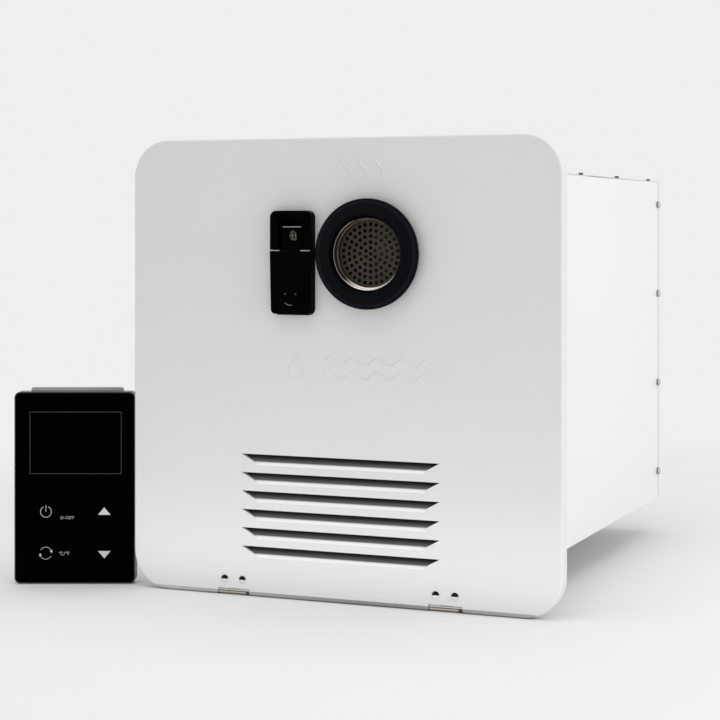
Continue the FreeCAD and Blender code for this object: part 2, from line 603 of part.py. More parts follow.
def casing():
    """The folded shell, its two covers, the wall flange, the seal and the screws."""
    blank = box("casing_blank", ("-" + HALF_W, HALF_W), (0, REAR), ("-" + HALF_H, CEILING))
    room = box("casing_room", ("-" + INNER_W, INNER_W), (-REACH, "%s - casing_sheet" % REAR),
               (FLOOR, "%s - casing_sheet" % CEILING))
    top = box("casing_top_opening", ("casing_lip - " + HALF_W, HALF_W + " - casing_lip"),
              ("casing_lip", "%s - casing_lip" % REAR), (0, HALF_H))
    back = box("casing_rear_opening", ("-" + INNER_W, INNER_W),
               ("casing_depth / 2", "casing_depth + %d" % REACH), (FLOOR, "%s - casing_lip" % CEILING))
    top_holes, rear_holes, heads = [], [], []
    for side, sign in (("left", "-"), ("right", "")):
        across = "%s(casing_width / 2 - casing_lip / 2)" % sign
        out = -1 if sign else 1
        for i in range(4):
            depth = "top_screw_first + (casing_depth - top_screw_first - top_screw_last) * %d / 3" % i
            level = "(casing_height - 2 * rear_screw_end) * %.1f / 3 + rear_screw_rise" % (i - 1.5)
            top_holes.append(rod("top_hole_%s_%d" % (side, i), "z", "screw_shank",
                                 (across, depth, HALF_H + " - casing_lip"), "casing_lip * 2"))
            rear_holes.append(rod("rear_hole_%s_%d" % (side, i), "x", "screw_shank",
                                  ("%s - casing_lip" % (sign + HALF_W), LIP_MIDDLE, level), "casing_lip * 2"))
            heads.append(pan_screw("top_screw_%s_%d" % (side, i), "z", (across, depth, HALF_H)))
            heads.append(pan_screw("rear_screw_%s_%d" % (side, i), "x", (sign + HALF_W, LIP_MIDDLE, level), out))
    ways, ports = [], []
    for i, (x, z) in enumerate(FITTINGS):
        start = (x, "casing_depth - casing_lip", z)
        ways.append(rod("fitting_way_%d" % i, "y", "fitting_hex / 2 + fitting_relief", start, "casing_lip * 2"))
        ports.append(rod("fitting_port_%d" % i, "y", "fitting_radius", start, "casing_lip * 2"))
    node("casing_shell", cut("shell", blank, room, top, back, *top_holes, *rear_holes, *ways))
    cover = box("cover_blank", ("-" + HALF_W, HALF_W), (0, REAR), (CEILING, HALF_H))
    node("top_cover", cut("cover", cover, *top_holes))
    rear_blank = box("rear_blank", ("-" + HALF_W, HALF_W), (REAR, "casing_depth"), ("-" + HALF_H, HALF_H))
    rear_lips = [box("rear_lip_left", ("-" + INNER_W, "casing_sheet - " + INNER_W), REAR_LIP, REAR_LIP_HIGH),
                 box("rear_lip_right", (INNER_W + " - casing_sheet", INNER_W), REAR_LIP, REAR_LIP_HIGH)]
    cable_start = ("exhaust_x", "casing_depth - casing_lip", FAN_Z)
    ports.append(rod("cable_port", "y", "grommet_radius - grommet_groove", cable_start, "casing_lip * 2"))
    rear = fuse("rear_folded", rear_blank, *rear_lips)
    node("rear_panel", cut("rear", rear, *rear_holes, *ports))
    flange(heads)
    neck = rod("grommet_neck", "y", "grommet_radius - grommet_groove", ("exhaust_x", REAR, FAN_Z), "casing_sheet")
    lips = [rod("grommet_lip_%d" % i, "y", "grommet_radius", ("exhaust_x", start, FAN_Z), "grommet_rim")
            for i, start in enumerate(("%s - grommet_rim" % REAR, "casing_depth"))]
    bore = rod("grommet_bore", "y", "grommet_bore_radius", cable_start, "casing_lip * 2")
    node("cable_grommet", cut("grommet", fuse("grommet_blank", neck, *lips), bore))


def pan_screw(name, axis, start, out=1):
    """A pan-head screw: the head stands on a surface, towards the out side, and the shank goes in."""
    along_axis = "xyz".index(axis)
    surface = start[along_axis]
    low, deep = list(start), list(start)
    if out > 0:
        deep[along_axis] = "(%s) - screw_length" % surface
    else:
        low[along_axis] = "(%s) - screw_height" % surface
    head = rod(name + "_head", axis, "screw_head", low, "screw_height")
    head = filleted(name + "_round", head, "screw_height / 2",
                    in_plane(axis, "(%s) + %d * screw_height" % (surface, out)))
    shank = rod(name + "_shank", axis, "screw_shank", deep, "screw_length")
    return fuse(name, head, shank)


def flange(casing_screws):
    """The flange that is screwed to the wall, the seal on its front, and all the case's screws."""
    outer_x = centred(0, "casing_width + 2 * flange_margin")
    outer_z = centred(0, "casing_height + 2 * flange_margin - flange_trim")
    blank = plate("flange_blank", outer_x, ("-flange_sheet", 0), outer_z, "flange_corner")
    opening = box("flange_opening", ("-" + INNER_W, INNER_W), ("-flange_sheet - %d" % REACH, REACH), (FLOOR, CEILING))
    hole_front = "-flange_sheet - hinge_leaf - %d" % REACH
    hole_length = "flange_sheet + hinge_leaf + %d" % (2 * REACH)
    holes = []
    across = "(casing_width / 2 + flange_screw_margin)"
    up = "(casing_height / 2 + flange_screw_margin)"
    for x in ("-" + across, "0", across):
        for z in ("-" + up, "0", up):
            if (x, z) != ("0", "0"):
                holes.append(rod("flange_hole_%d" % len(holes), "y", "flange_hole / 2",
                                 (x, hole_front, z), hole_length))
    screws = []
    for side, middle in HINGES:
        for i in (-1, 1):
            name = "%s_%d" % (side, i + 1)
            across = "%s + %d * rivet_spacing / 2" % (middle, i)
            holes.append(rod("hinge_hole_" + name, "y", "rivet_shank",
                             (across, hole_front, HINGE_SCREW_Z), hole_length))
            head = rod("hinge_screw_head_" + name, "y", "rivet_head",
                       (across, "-flange_sheet - hinge_leaf - rivet_height", HINGE_SCREW_Z), "rivet_height")
            shank = rod("hinge_screw_shank_" + name, "y", "rivet_shank",
                        (across, "-flange_sheet - hinge_leaf", HINGE_SCREW_Z),
                        "flange_sheet + hinge_leaf + rivet_height")
            screws.append(fuse("hinge_screw_" + name, head, shank))
    node("wall_flange", cut("flange", blank, opening, *holes))
    node("case_screws", group("screw_set", *casing_screws, *screws))
    seal_x = centred(0, "casing_width + 2 * seal_offset + 2 * seal_width")
    seal_z = centred(0, "casing_height + 2 * seal_offset + 2 * seal_width")
    seal_y = (DOOR_BACK + " + seal_gap", "-flange_sheet")
    outside = plate("seal_blank", seal_x, seal_y, seal_z, "seal_corner")
    inside = plate("seal_opening", centred(0, "casing_width + 2 * seal_offset"), ("-door_depth", REACH),
                   centred(0, "casing_height + 2 * seal_offset"), "seal_corner - seal_width")
    node("door_seal", cut("seal", outside, inside))


# ---------------------------------------------------------------- exhaust, heat exchanger and burner

def inner_rim(level):
    """A test for the circle round the collar's bore at a level along Y."""
    widest = value("exhaust_radius - exhaust_wall - collar_wall / 2")
    at_level = in_plane("y", level)

    def wanted(edge):
        return at_level(edge) and edge.Curve.Radius < widest

    return wanted


def exhaust():
    """The exhaust pipe with its rolled rim and inner collar, and the perforated grille behind the collar."""
    length = "stack_front + stack_sheet - %s" % RIM_Y
    start = ("exhaust_x", RIM_Y, "exhaust_z")
    rim = document.addObject("Part::Torus", "exhaust_rim_roll")
    tie(rim, Radius1="exhaust_radius - exhaust_wall / 2", Radius2="exhaust_rim")
    place(rim, *start, rotation=AXIS_TURNS["y"])
    outside = fuse("exhaust_outside", rod("exhaust_tube", "y", "exhaust_radius", start, length), rim)
    bore = rod("exhaust_bore", "y", "exhaust_radius - exhaust_wall",
               ("exhaust_x", RIM_Y + " - exhaust_rim * 2", "exhaust_z"), length + " + exhaust_rim * 4")
    front = "(%s + grille_depth - collar_depth)" % RIM_Y
    collar = rod("collar_outside", "y", "exhaust_radius - exhaust_wall / 2",
                 ("exhaust_x", front, "exhaust_z"), "collar_depth")
    opening = rod("collar_bore", "y", "exhaust_radius - exhaust_wall - collar_wall",
                  ("exhaust_x", "%s - %d" % (front, REACH), "exhaust_z"), "collar_depth + %d" % (2 * REACH))
    collar = cut("collar_ring", collar, opening)
    collar = filleted("collar", collar, "collar_wall * 0.6", inner_rim(front))
    node("exhaust_pipe", fuse("exhaust_with_collar", cut("exhaust", outside, bore), collar))

    body = document.addObject("PartDesign::Body", "grille_body")
    disc = body_sketch(body, "XY_Plane", "grille_disc")
    sketch_circle(disc, "exhaust_radius - exhaust_wall")
    padded(body, disc, "grille_sheet")
    for ring in range(GRILLE_RINGS + 1):
        hole = body_sketch(body, "XY_Plane", "grille_hole_%d" % ring)
        sketch_circle(hole, "grille_hole / 2", "%d * grille_pitch" % ring)
        pocket = body.newObject("PartDesign::Pocket", "grille_pocket_%d" % ring)
        pocket.Profile = hole
        pocket.Type = "ThroughAll"
        pocket.Midplane = True
        if ring:
            polar(body, pocket, hole, 6 * ring)
    turn = Rotation(Vector(1, 0, 0), -90) * Rotation(Vector(0, 0, 1), 90)
    place(body, "exhaust_x", RIM_Y + " + grille_depth", "exhaust_z", turn)
    node("exhaust_grille", body)


def duct(name, x, y, z, wall, low_end, high_end):
    """A duct's outside and inside along Z, with how far the inside stops short of the low and high ends."""
    outside = box(name + "_outside", x, y, z)
    inside = box(name + "_inside", ("%s + %s" % (x[0], wall), "%s - %s" % (x[1], wall)),
                 ("%s + %s" % (y[0], wall), "%s - %s" % (y[1], wall)),
                 ("%s + %s" % (z[0], low_end), "%s - %s" % (z[1], high_end)))
    return outside, inside


def stack():
    """Flue collector, heat exchanger, combustion chamber, burner tray and burners."""
    across, through = (STACK_LEFT, STACK_RIGHT), ("stack_front", STACK_BACK)
    outside, inside = duct("collector", across, through, (EXCHANGER_TOP, COLLECTOR_TOP),
                           "stack_sheet", "(-%d)" % REACH, "stack_sheet")
    mouth = rod("collector_mouth", "y", "exhaust_radius",
                ("exhaust_x", "stack_front - %d" % REACH, "exhaust_z"), "stack_sheet + %d" % (2 * REACH))
    node("flue_collector", cut("collector_box", outside, inside, mouth))

    passes, bores, holes = [], [], []
    for i in range(TUBES):
        depth = "%s + %d * tube_pitch" % (FIRST_TUBE_Y, i)
        passes.append(rod("tube_%d" % i, "x", "tube_radius", (STACK_LEFT, depth, TUBE_Z), "stack_width"))
        bores.append(rod("tube_bore_%d" % i, "x", TUBE_BORE, (STACK_LEFT, depth, TUBE_Z), "stack_width"))
        holes.append(rod("tube_hole_%d" % i, "x", "tube_radius",
                         ("%s - %d" % (STACK_LEFT, REACH), depth, TUBE_Z), "stack_width + %d" % (2 * REACH)))
    for i in range(TUBES - 1):
        side, turn = ((STACK_RIGHT, -90), (STACK_LEFT, 90))[i % 2]
        middle = (side, "%s + %.1f * tube_pitch" % (FIRST_TUBE_Y, i + 0.5), TUBE_Z)
        passes.append(bend("return_%d" % i, "tube_pitch / 2", "tube_radius", middle, turn, 180))
        bores.append(bend("return_bore_%d" % i, "tube_pitch / 2", TUBE_BORE, middle, turn, 180))
    node("heat_exchanger_tubes", cut("serpentine", fuse("tube_outsides", *passes), fuse("tube_bores", *bores)))
    outside, inside = duct("exchanger", across, through, (EXCHANGER_LOW, EXCHANGER_TOP),
                           "stack_sheet", "(-%d)" % REACH, "(-%d)" % REACH)
    node("heat_exchanger_shell", cut("exchanger_box", outside, inside, *holes))
    fins = []
    for i in range(FINS):
        middle = "exhaust_x + %d * fin_pitch" % (i - FINS // 2)
        fins.append(box("fin_%d" % i, centred(middle, "fin_sheet"),
                        ("stack_front + stack_sheet", STACK_BACK + " - stack_sheet"),
                        (EXCHANGER_LOW + " + fin_margin", EXCHANGER_TOP + " - fin_margin")))
    node("heat_exchanger_fins", cut("fins", group("fin_set", *fins), *holes))

    outside, inside = duct("chamber", across, through, (CHAMBER_LOW, EXCHANGER_LOW),
                           "stack_sheet", "(-%d)" % REACH, "(-%d)" % REACH)
    electrode_holes, electrodes = [], []
    for i, side in enumerate((-1, 1)):
        x = "exhaust_x + %d * burner_pitch" % side
        z = CHAMBER_LOW + " + electrode_rise"
        electrode_holes.append(rod("electrode_hole_%d" % i, "y", "insulator_radius",
                                   (x, "stack_front - %d" % REACH, z), "stack_sheet + %d" % (2 * REACH)))
        insulator = rod("insulator_%d" % i, "y", "insulator_radius",
                        (x, "stack_front - insulator_front", z), "insulator_length + stack_sheet")
        wire = rod("electrode_wire_%d" % i, "y", "electrode_radius",
                   (x, "stack_front - electrode_front", z), "electrode_length")
        tip = rod("electrode_tip_%d" % i, "z", "electrode_radius",
                  (x, "stack_front + electrode_tip_start", z + " - electrode_tip"), "electrode_tip")
        electrodes.append(fuse("electrode_%d" % i, insulator, wire, tip))
    node("combustion_chamber", cut("chamber_box", outside, inside, *electrode_holes))
    node("ignition_electrodes", group("electrode_set", *electrodes))

    outside, inside = duct("tray", across, through, (TRAY_LOW, CHAMBER_LOW),
                           "stack_sheet", "stack_sheet", "(-%d)" % REACH)
    bars, nozzles, nozzle_holes = [], [], []
    bar_top = CHAMBER_LOW + " - burner_drop"
    for i in range(BURNERS):
        x = "exhaust_x + %.1f * burner_pitch" % (i - (BURNERS - 1) / 2)
        bar = box("burner_%d_blank" % i, centred(x, "burner_width"),
                  ("stack_front + burner_inset", STACK_BACK + " - burner_inset"),
                  (TRAY_LOW + " + stack_sheet", bar_top))
        bar = filleted("burner_%d_round" % i, bar, "burner_width / 4", in_plane("z", bar_top))
        slots = []
        for k in range(FLAME_SLOTS):
            share = (k + 0.5) / FLAME_SLOTS
            middle = "stack_front + burner_inset + %r * (stack_depth - 2 * burner_inset)" % share
            slots.append(box("burner_%d_slot_%d" % (i, k), centred(x, "burner_width - 2 * burner_slot_margin"),
                             centred(middle, "burner_slot"), (bar_top + " - burner_slot_depth", CHAMBER_LOW)))
        throat = rod("burner_%d_throat" % i, "y", "nozzle_radius + nozzle_gap",
                     (x, "stack_front", MANIFOLD_Z), "burner_throat")
        bars.append(cut("burner_%d" % i, bar, throat, *slots))
        nozzles.append(rod("nozzle_%d" % i, "y", "nozzle_radius",
                           (x, MANIFOLD_Y, MANIFOLD_Z), "manifold_gap + nozzle_entry"))
        nozzle_holes.append(rod("nozzle_hole_%d" % i, "y", "nozzle_radius",
                                (x, "stack_front - %d" % REACH, MANIFOLD_Z), "stack_sheet + %d" % (2 * REACH)))
    air = box("tray_air_hole", ("exhaust_x + fan_sheet", "exhaust_x + fan_radius - fan_sheet"),
              ("fan_front + fan_sheet", "fan_front + fan_depth - fan_sheet"),
              ("%s - %d" % (TRAY_LOW, REACH), "%s + stack_sheet + %d" % (TRAY_LOW, REACH)))
    node("burner_tray", cut("tray_box", outside, inside, air, *nozzle_holes))
    node("burner_bars", group("burner_set", *bars))
    rail = rod("manifold_rail", "x", "manifold_radius",
               (STACK_LEFT + " + manifold_inset", MANIFOLD_Y, MANIFOLD_Z), "stack_width - 2 * manifold_inset")
    node("gas_manifold", fuse("manifold", rail, *nozzles))
    thermostats()


def thermostats():
    """Three overheat thermostats in a row on the heat exchanger's front, each with two terminals."""
    discs = []
    front = "stack_front - thermostat_height"
    for i in range(3):
        middle = "exhaust_x + (%d) * thermostat_spacing" % (i - 1)
        cap = rod("thermostat_cap_%d" % i, "y", "thermostat_radius",
                  (middle, "stack_front - thermostat_height / 2", TUBE_Z), "thermostat_height / 2")
        neck = rod("thermostat_neck_%d" % i, "y", "thermostat_radius * 0.7",
                   (middle, front, TUBE_Z), "thermostat_height / 2")
        tabs = []
        for k in (-1, 1):
            across = centred("%s + (%d) * thermostat_radius * 0.35" % (middle, k), "tab_sheet")
            tabs.append(box("thermostat_tab_%d_%d" % (i, k), across,
                            (front + " - tab_length", front + " + tab_entry"), centred(TUBE_Z, "tab_width")))
        discs.append(fuse("thermostat_%d" % i, cap, neck, *tabs))
    node("overheat_thermostats", group("thermostat_set", *discs))


# ---------------------------------------------------------------- gas line

def hex_prism(name, width, start, length):
    """A hexagon along Y, given across its corners."""
    item = document.addObject("Part::Prism", name)
    item.Polygon = 6
    tie(item, Circumradius="(%s) / 2" % width, Height=length)
    return place(item, *start, rotation=AXIS_TURNS["y"])


def fitting(name, x, z, inner_radius, inner_start):
    """A male half-inch fitting through the rear panel, with its hexagon and its tail inside."""
    length = "casing_sheet + fitting_hex_length + fitting_length"
    thread = rod(name + "_thread", "y", "fitting_radius", (x, REAR, z), length)
    flat = hex_prism(name + "_hex", "fitting_hex", (x, "casing_depth", z), "fitting_hex_length")
    collar = hex_prism(name + "_collar", "fitting_hex", (x, REAR + " - fitting_hex_length", z), "fitting_hex_length")
    outside = fuse(name + "_outside", thread, flat, collar)
    bore = rod(name + "_bore", "y", "fitting_bore",
               (x, "%s - %d" % (REAR, REACH), z), "%s + %d" % (length, 2 * REACH))
    socket = rod(name + "_socket", "y", inner_radius, (x, inner_start, z), "casing_depth - (%s)" % inner_start)
    return cut(name, outside, bore, socket)


def gas_line():
    """Gas inlet, supply tube, valve with its two coils and bracket, and the tube to the manifold."""
    left, right = "(-valve_left)", "(valve_width - valve_left)"
    front, back = "(%s - valve_depth / 2)" % MANIFOLD_Y, "(%s + valve_depth / 2)" % MANIFOLD_Y
    low, high = "(%s - valve_height / 2)" % MANIFOLD_Z, "(%s + valve_height / 2)" % MANIFOLD_Z
    middle = ("-gas_x", MANIFOLD_Y, MANIFOLD_Z)
    block = plate("valve_blank", (left, right), (front, back), (low, high), "valve_corner")
    inlet = rod("valve_inlet_boss", "y", "gas_tube + valve_boss_wall", ("-gas_x", back, MANIFOLD_Z),
                "valve_boss_length")
    outlet = rod("valve_outlet_boss", "x", "gas_tube + valve_boss_wall", (right, MANIFOLD_Y, MANIFOLD_Z),
                 "valve_boss_length")
    bore_in = rod("valve_bore_in", "y", "gas_tube", middle, "valve_depth / 2 + valve_boss_length + %d" % REACH)
    bore_out = rod("valve_bore_out", "x", "gas_tube", middle, "valve_width")
    node("gas_valve_body", cut("valve", fuse("valve_outside", block, inlet, outlet), bore_in, bore_out))
    coils = []
    for i, offset in enumerate(("valve_width / 4", "3 * valve_width / 4")):
        x = "%s + %s" % (left, offset)
        can = rod("coil_can_%d" % i, "z", "coil_radius", (x, MANIFOLD_Y, high), "coil_height")
        can = filleted("coil_round_%d" % i, can, "coil_base_rim", in_plane("z", high + " + coil_height"))
        stem = rod("coil_stem_%d" % i, "z", "coil_stem", (x, MANIFOLD_Y, high), "coil_height + coil_stem")
        nut = rod("coil_base_%d" % i, "z", "coil_radius + coil_base_rim", (x, MANIFOLD_Y, high), "coil_base_height")
        coils.append(fuse("coil_%d" % i, can, stem, nut))
    node("gas_valve_coils", group("coil_set", *coils))
    foot = box("bracket_foot", (left, right), (front, back), (FLOOR, FLOOR + " + bracket_sheet"))
    web = box("bracket_web", (left, right), (back + " - bracket_sheet", back), (FLOOR, low))
    shelf = box("bracket_shelf", (left, right), (front, back), (low + " - bracket_sheet", low))
    node("gas_valve_bracket", fuse("valve_bracket", foot, web, shelf))
    supply = rod("supply_outside", "y", "gas_tube", ("-gas_x", back + " + 1", MANIFOLD_Z),
                 "%s - %s - 2" % (REAR, back))
    supply_bore = rod("supply_bore", "y", "gas_tube - gas_tube_wall", middle, "casing_depth")
    supply = cut("supply", supply, supply_bore)
    feed = rod("feed_outside", "x", "gas_tube", (right + " + 1", MANIFOLD_Y, MANIFOLD_Z),
               "%s + manifold_inset - %s - 1" % (STACK_LEFT, right))
    feed_bore = rod("feed_bore", "x", "gas_tube - gas_tube_wall", (right, MANIFOLD_Y, MANIFOLD_Z),
                    "%s + manifold_inset + 1 - %s" % (STACK_LEFT, right))
    node("gas_tubes", group("gas_tube_set", supply, cut("feed", feed, feed_bore)))
    node("gas_inlet_fitting", fitting("gas_inlet", "-gas_x", MANIFOLD_Z, "gas_tube", FITTING_TAIL))


# ---------------------------------------------------------------- fan

def bladed_wheel(name, radius, width, hub, blade_depth, blade_sheet, count, axle, axle_length):
    """A hub disc with blades round its rim and an axle, along the body's own +Z."""
    body = document.addObject("PartDesign::Body", name)
    disc = body_sketch(body, "XY_Plane", name + "_disc")
    sketch_circle(disc, radius)
    padded(body, disc, "wheel_disc")
    boss = body_sketch(body, "XY_Plane", name + "_hub")
    sketch_circle(boss, hub)
    padded(body, boss, "(%s) / 2" % width)
    blade = body_sketch(body, "XY_Plane", name + "_blade")
    sketch_rectangle(blade, "(%s) - (%s)" % (radius, blade_depth), "(%s) - blade_inset" % radius,
                     "-(%s) / 2" % blade_sheet, "(%s) / 2" % blade_sheet)
    polar(body, padded(body, blade, width), blade, count)
    pin = body_sketch(body, "XY_Plane", name + "_axle")
    sketch_circle(pin, axle)
    body.Tip = padded(body, pin, axle_length)
    return body


def fan():
    """The fan housing with its outlet, the impeller on its shaft and the motor behind."""
    back = "(fan_front + fan_depth)"
    drum = rod("fan_drum", "y", "fan_radius", ("exhaust_x", "fan_front", FAN_Z), "fan_depth")
    neck = box("fan_outlet", ("exhaust_x", "exhaust_x + fan_radius"), ("fan_front", back), (FAN_Z, TRAY_LOW))
    feet = box("fan_feet", centred("exhaust_x", "fan_radius"), ("fan_front", back),
               (FLOOR, FLOOR + " + fan_foot_height"))
    room = rod("fan_room", "y", "fan_radius - fan_sheet", ("exhaust_x", "fan_front + fan_sheet", FAN_Z),
               "fan_depth - 2 * fan_sheet")
    way = box("fan_way", ("exhaust_x + fan_sheet", "exhaust_x + fan_radius - fan_sheet"),
              ("fan_front + fan_sheet", back + " - fan_sheet"), (FAN_Z, TRAY_LOW + " + 1"))
    through = "fan_sheet + %d" % (2 * REACH)
    inlet = rod("fan_inlet_hole", "y", "fan_inlet", ("exhaust_x", "fan_front - %d" % REACH, FAN_Z), through)
    shaft_hole = rod("fan_shaft_hole", "y", "shaft_radius + 1",
                     ("exhaust_x", "%s - fan_sheet - %d" % (back, REACH), FAN_Z), through)
    node("fan_housing", cut("housing", fuse("housing_outside", drum, neck, feet), room, way, inlet, shaft_hole))
    wheel = bladed_wheel("impeller_body", "impeller_radius", "fan_depth - 2 * fan_sheet - 2 * impeller_gap",
                         "impeller_hub", "blade_depth", "blade_sheet", BLADES, "shaft_radius - 0.2",
                         "(fan_depth - 2 * fan_sheet) / 2")
    place(wheel, "exhaust_x", back + " - fan_sheet - impeller_gap", FAN_Z, Rotation(Vector(1, 0, 0), 90))
    node("fan_impeller", wheel)
    shaft = rod("fan_shaft_rod", "y", "shaft_radius", ("exhaust_x", back + " - fan_sheet - impeller_gap", FAN_Z),
                "fan_sheet + impeller_gap + motor_length / 2")
    node("fan_shaft", shaft)
    can = rod("motor_can", "y", "motor_radius", ("exhaust_x", back, FAN_Z), "motor_length")
    can_end = back + " + motor_length"
    can = filleted("motor_round", can, "motor_corner", in_plane("y", can_end))
    plug = box("motor_terminal", centred("exhaust_x", 14), (can_end + " - 3", can_end + " + 5"),
               (FAN_Z + " + 4", FAN_Z + " + 14"))
    bore = rod("motor_bore", "y", "shaft_radius + clearance", ("exhaust_x", back + " - 1", FAN_Z),
               "motor_length / 2 + 2")
    node("fan_motor", cut("motor", fuse("motor_outside", can, plug), bore))


# ---------------------------------------------------------------- water lines

def water():
    """Cold line with its flow sensor, hot line with its relief valve, and their fittings."""
    front, back = FIRST_TUBE_Y, LAST_TUBE_Y
    sensor_right = "(%s - tube_radius)" % STACK_LEFT
    sensor_left = "(%s - sensor_length)" % sensor_right
    tail = REAR + " - fitting_hex_length + 4"
    parts, bores = [], []
    for pieces, radius in ((parts, "tube_radius"), (bores, TUBE_BORE)):
        more = "0.5" if pieces is bores else "0"
        name = "cold_bore" if pieces is bores else "cold"
        bend_y = "(%s + pipe_bend)" % front
        pieces.append(rod(name + "_run", "y", radius, ("-cold_x", bend_y, TUBE_Z),
                          "%s - %s + %s" % (tail, bend_y, more)))
        pieces.append(bend(name + "_elbow", "pipe_bend", radius, ("pipe_bend - cold_x", bend_y, TUBE_Z), 180, 90))
        pieces.append(rod(name + "_cross", "x", radius, ("pipe_bend - cold_x", front, TUBE_Z),
                          "%s + cold_x - pipe_bend + %s" % (sensor_left, more)))
    node("cold_water_pipe", cut("cold_pipe", fuse("cold_outsides", *parts), fuse("cold_bores", *bores)))
    parts, bores = [], []
    for pieces, radius in ((parts, "tube_radius"), (bores, TUBE_BORE)):
        more = "0.5" if pieces is bores else "0"
        name = "hot_bore" if pieces is bores else "hot"
        bend_y = "(%s + pipe_bend)" % back
        pieces.append(rod(name + "_run", "y", radius, ("hot_x", bend_y, TUBE_Z),
                          "%s - %s + %s" % (tail, bend_y, more)))
        pieces.append(bend(name + "_elbow", "pipe_bend", radius, ("hot_x - pipe_bend", bend_y, TUBE_Z), 270, 90))
        pieces.append(rod(name + "_cross", "x", radius, ("%s - %s" % (STACK_RIGHT, more), back, TUBE_Z),
                          "hot_x - pipe_bend - %s + %s" % (STACK_RIGHT, more)))
    node("hot_water_pipe", cut("hot_pipe", fuse("hot_outsides", *parts), fuse("hot_bores", *bores)))
    for name, x in (("cold_inlet_fitting", "-cold_x"), ("hot_outlet_fitting", "hot_x")):
        node(name, fitting(name + "_cut", x, TUBE_Z, "tube_radius", FITTING_TAIL))

    shell = rod("sensor_outside", "x", "sensor_radius", (sensor_left, front, TUBE_Z), "sensor_length")
    shell = filleted("sensor_round", shell, "sensor_corner", in_plane("x", sensor_left))
    bridge = rod("sensor_bridge", "x", "tube_radius", (sensor_right, front, TUBE_Z), "tube_radius")
    cap = box("sensor_cap", centred(sensor_left + " + sensor_length / 2", 16),
              (front + " - sensor_radius - 4", front), centred(TUBE_Z, 12))
    room = rod("sensor_room", "x", "sensor_radius - sensor_wall", (sensor_left + " + sensor_end", front, TUBE_Z),
               "sensor_length - 2 * sensor_end")
    way = rod("sensor_way", "x", "tube_radius - sensor_wall", ("%s - %d" % (sensor_left, REACH), front, TUBE_Z),
              "sensor_length + tube_radius + %d" % (2 * REACH))
    spider = []
    for i, low in enumerate(("spider_start", "sensor_length - spider_start - spider_depth")):
        low = "%s + %s" % (sensor_left, low)
        across = centred(front, "2 * sensor_radius - 2 * sensor_wall - 0.2")
        spider.append(box("sensor_spider_%d" % i, (low, low + " + spider_depth"), across,
                          centred(TUBE_Z, "spider_height")))
    eyes = rod("sensor_eyes", "x", "spindle_radius + clearance", (sensor_left, front, TUBE_Z), "sensor_length")
    walls = cut("sensor_walls", fuse("sensor_shell", shell, bridge, cap), room, way)
    node("flow_sensor_body", cut("sensor", fuse("sensor_and_spiders", walls, *spider), eyes))
    turbine = bladed_wheel("turbine_body", "sensor_radius - sensor_wall - turbine_gap - 2", "turbine_width",
                           "turbine_hub", "turbine_blade", "turbine_sheet", TURBINE_BLADES, "turbine_boss",
                           "sensor_length - 2 * turbine_start")
    place(turbine, sensor_left + " + turbine_start", front, TUBE_Z, AXIS_TURNS["x"])
    spindle = rod("spindle", "x", "spindle_radius", (sensor_left + " + spindle_inset", front, TUBE_Z),
                  "sensor_length - 2 * spindle_inset")
    wheel = fuse("turbine_wheel", turbine, spindle)
    turbine.Label = "turbine_blades"
    node("flow_turbine", wheel)
    relief()


def relief():
    """The pressure relief valve on the hot line, with its test lever."""
    low = "(%s + tube_radius)" % TUBE_Z
    high = "(%s + relief_height)" % low
    saddle = rod("relief_saddle", "y", "tube_radius + relief_saddle_wall",
                 ("hot_x", "relief_y - relief_saddle_length / 2", TUBE_Z), "relief_saddle_length")
    barrel = rod("relief_barrel", "z", "relief_radius", ("hot_x", "relief_y", TUBE_Z), "%s - %s" % (high, TUBE_Z))
    mouth = ("hot_x", "relief_y", low + " + relief_height / 2")
    spout = rod("relief_spout", "y", "relief_radius - relief_spout_less", mouth, "relief_spout_length")
    pipe = rod("relief_pipe_way", "y", "tube_radius", ("hot_x", "relief_y - relief_saddle_length", TUBE_Z),
               "2 * relief_saddle_length")
    spout_bore = rod("relief_spout_bore", "y", "relief_radius - relief_spout_less - relief_spout_wall", mouth,
                     "relief_spout_length + %d" % REACH)
    axle_z = "(%s + lever_rise)" % high
    ears = []
    for i, side in enumerate((-1, 1)):
        across = centred("hot_x + (%d) * (lever_width / 2 + lever_ear_gap + lever_ear / 2)" % side, "lever_ear")
        ears.append(box("relief_ear_%d" % i, across, centred("relief_y", "lever_ear_depth"),
                        (high + " - 1", axle_z + " + 2 * lever_pin")))
    pin = rod("relief_pin", "x", "lever_pin", ("hot_x - lever_width / 2 - 4 * lever_ear_gap", "relief_y", axle_z),
              "lever_width + 8 * lever_ear_gap")
    outside = fuse("relief_outside", saddle, barrel, spout, *ears)
    node("relief_valve_body", fuse("relief_body", cut("relief_cut", outside, pipe, spout_bore), pin))
    width, arm_top = centred("hot_x", "lever_width"), axle_z + " + lever_eye"
    eye = rod("lever_eye_round", "x", "lever_eye", ("hot_x - lever_width / 2", "relief_y", axle_z), "lever_width")
    arm = box("lever_arm", width, ("relief_y - lever_length", "relief_y"), (arm_top + " - lever_sheet", arm_top))
    tab = box("lever_finger_tab", width, ("relief_y - lever_length", "relief_y - lever_length + lever_sheet"),
              (arm_top + " - lever_tab", arm_top))
    bore = rod("lever_bore", "x", "lever_pin + clearance", ("hot_x - lever_width", "relief_y", axle_z),
               "2 * lever_width")
    node("relief_valve_lever", cut("lever", fuse("lever_outside", eye, arm, tab), bore))


# ---------------------------------------------------------------- controls inside the casing

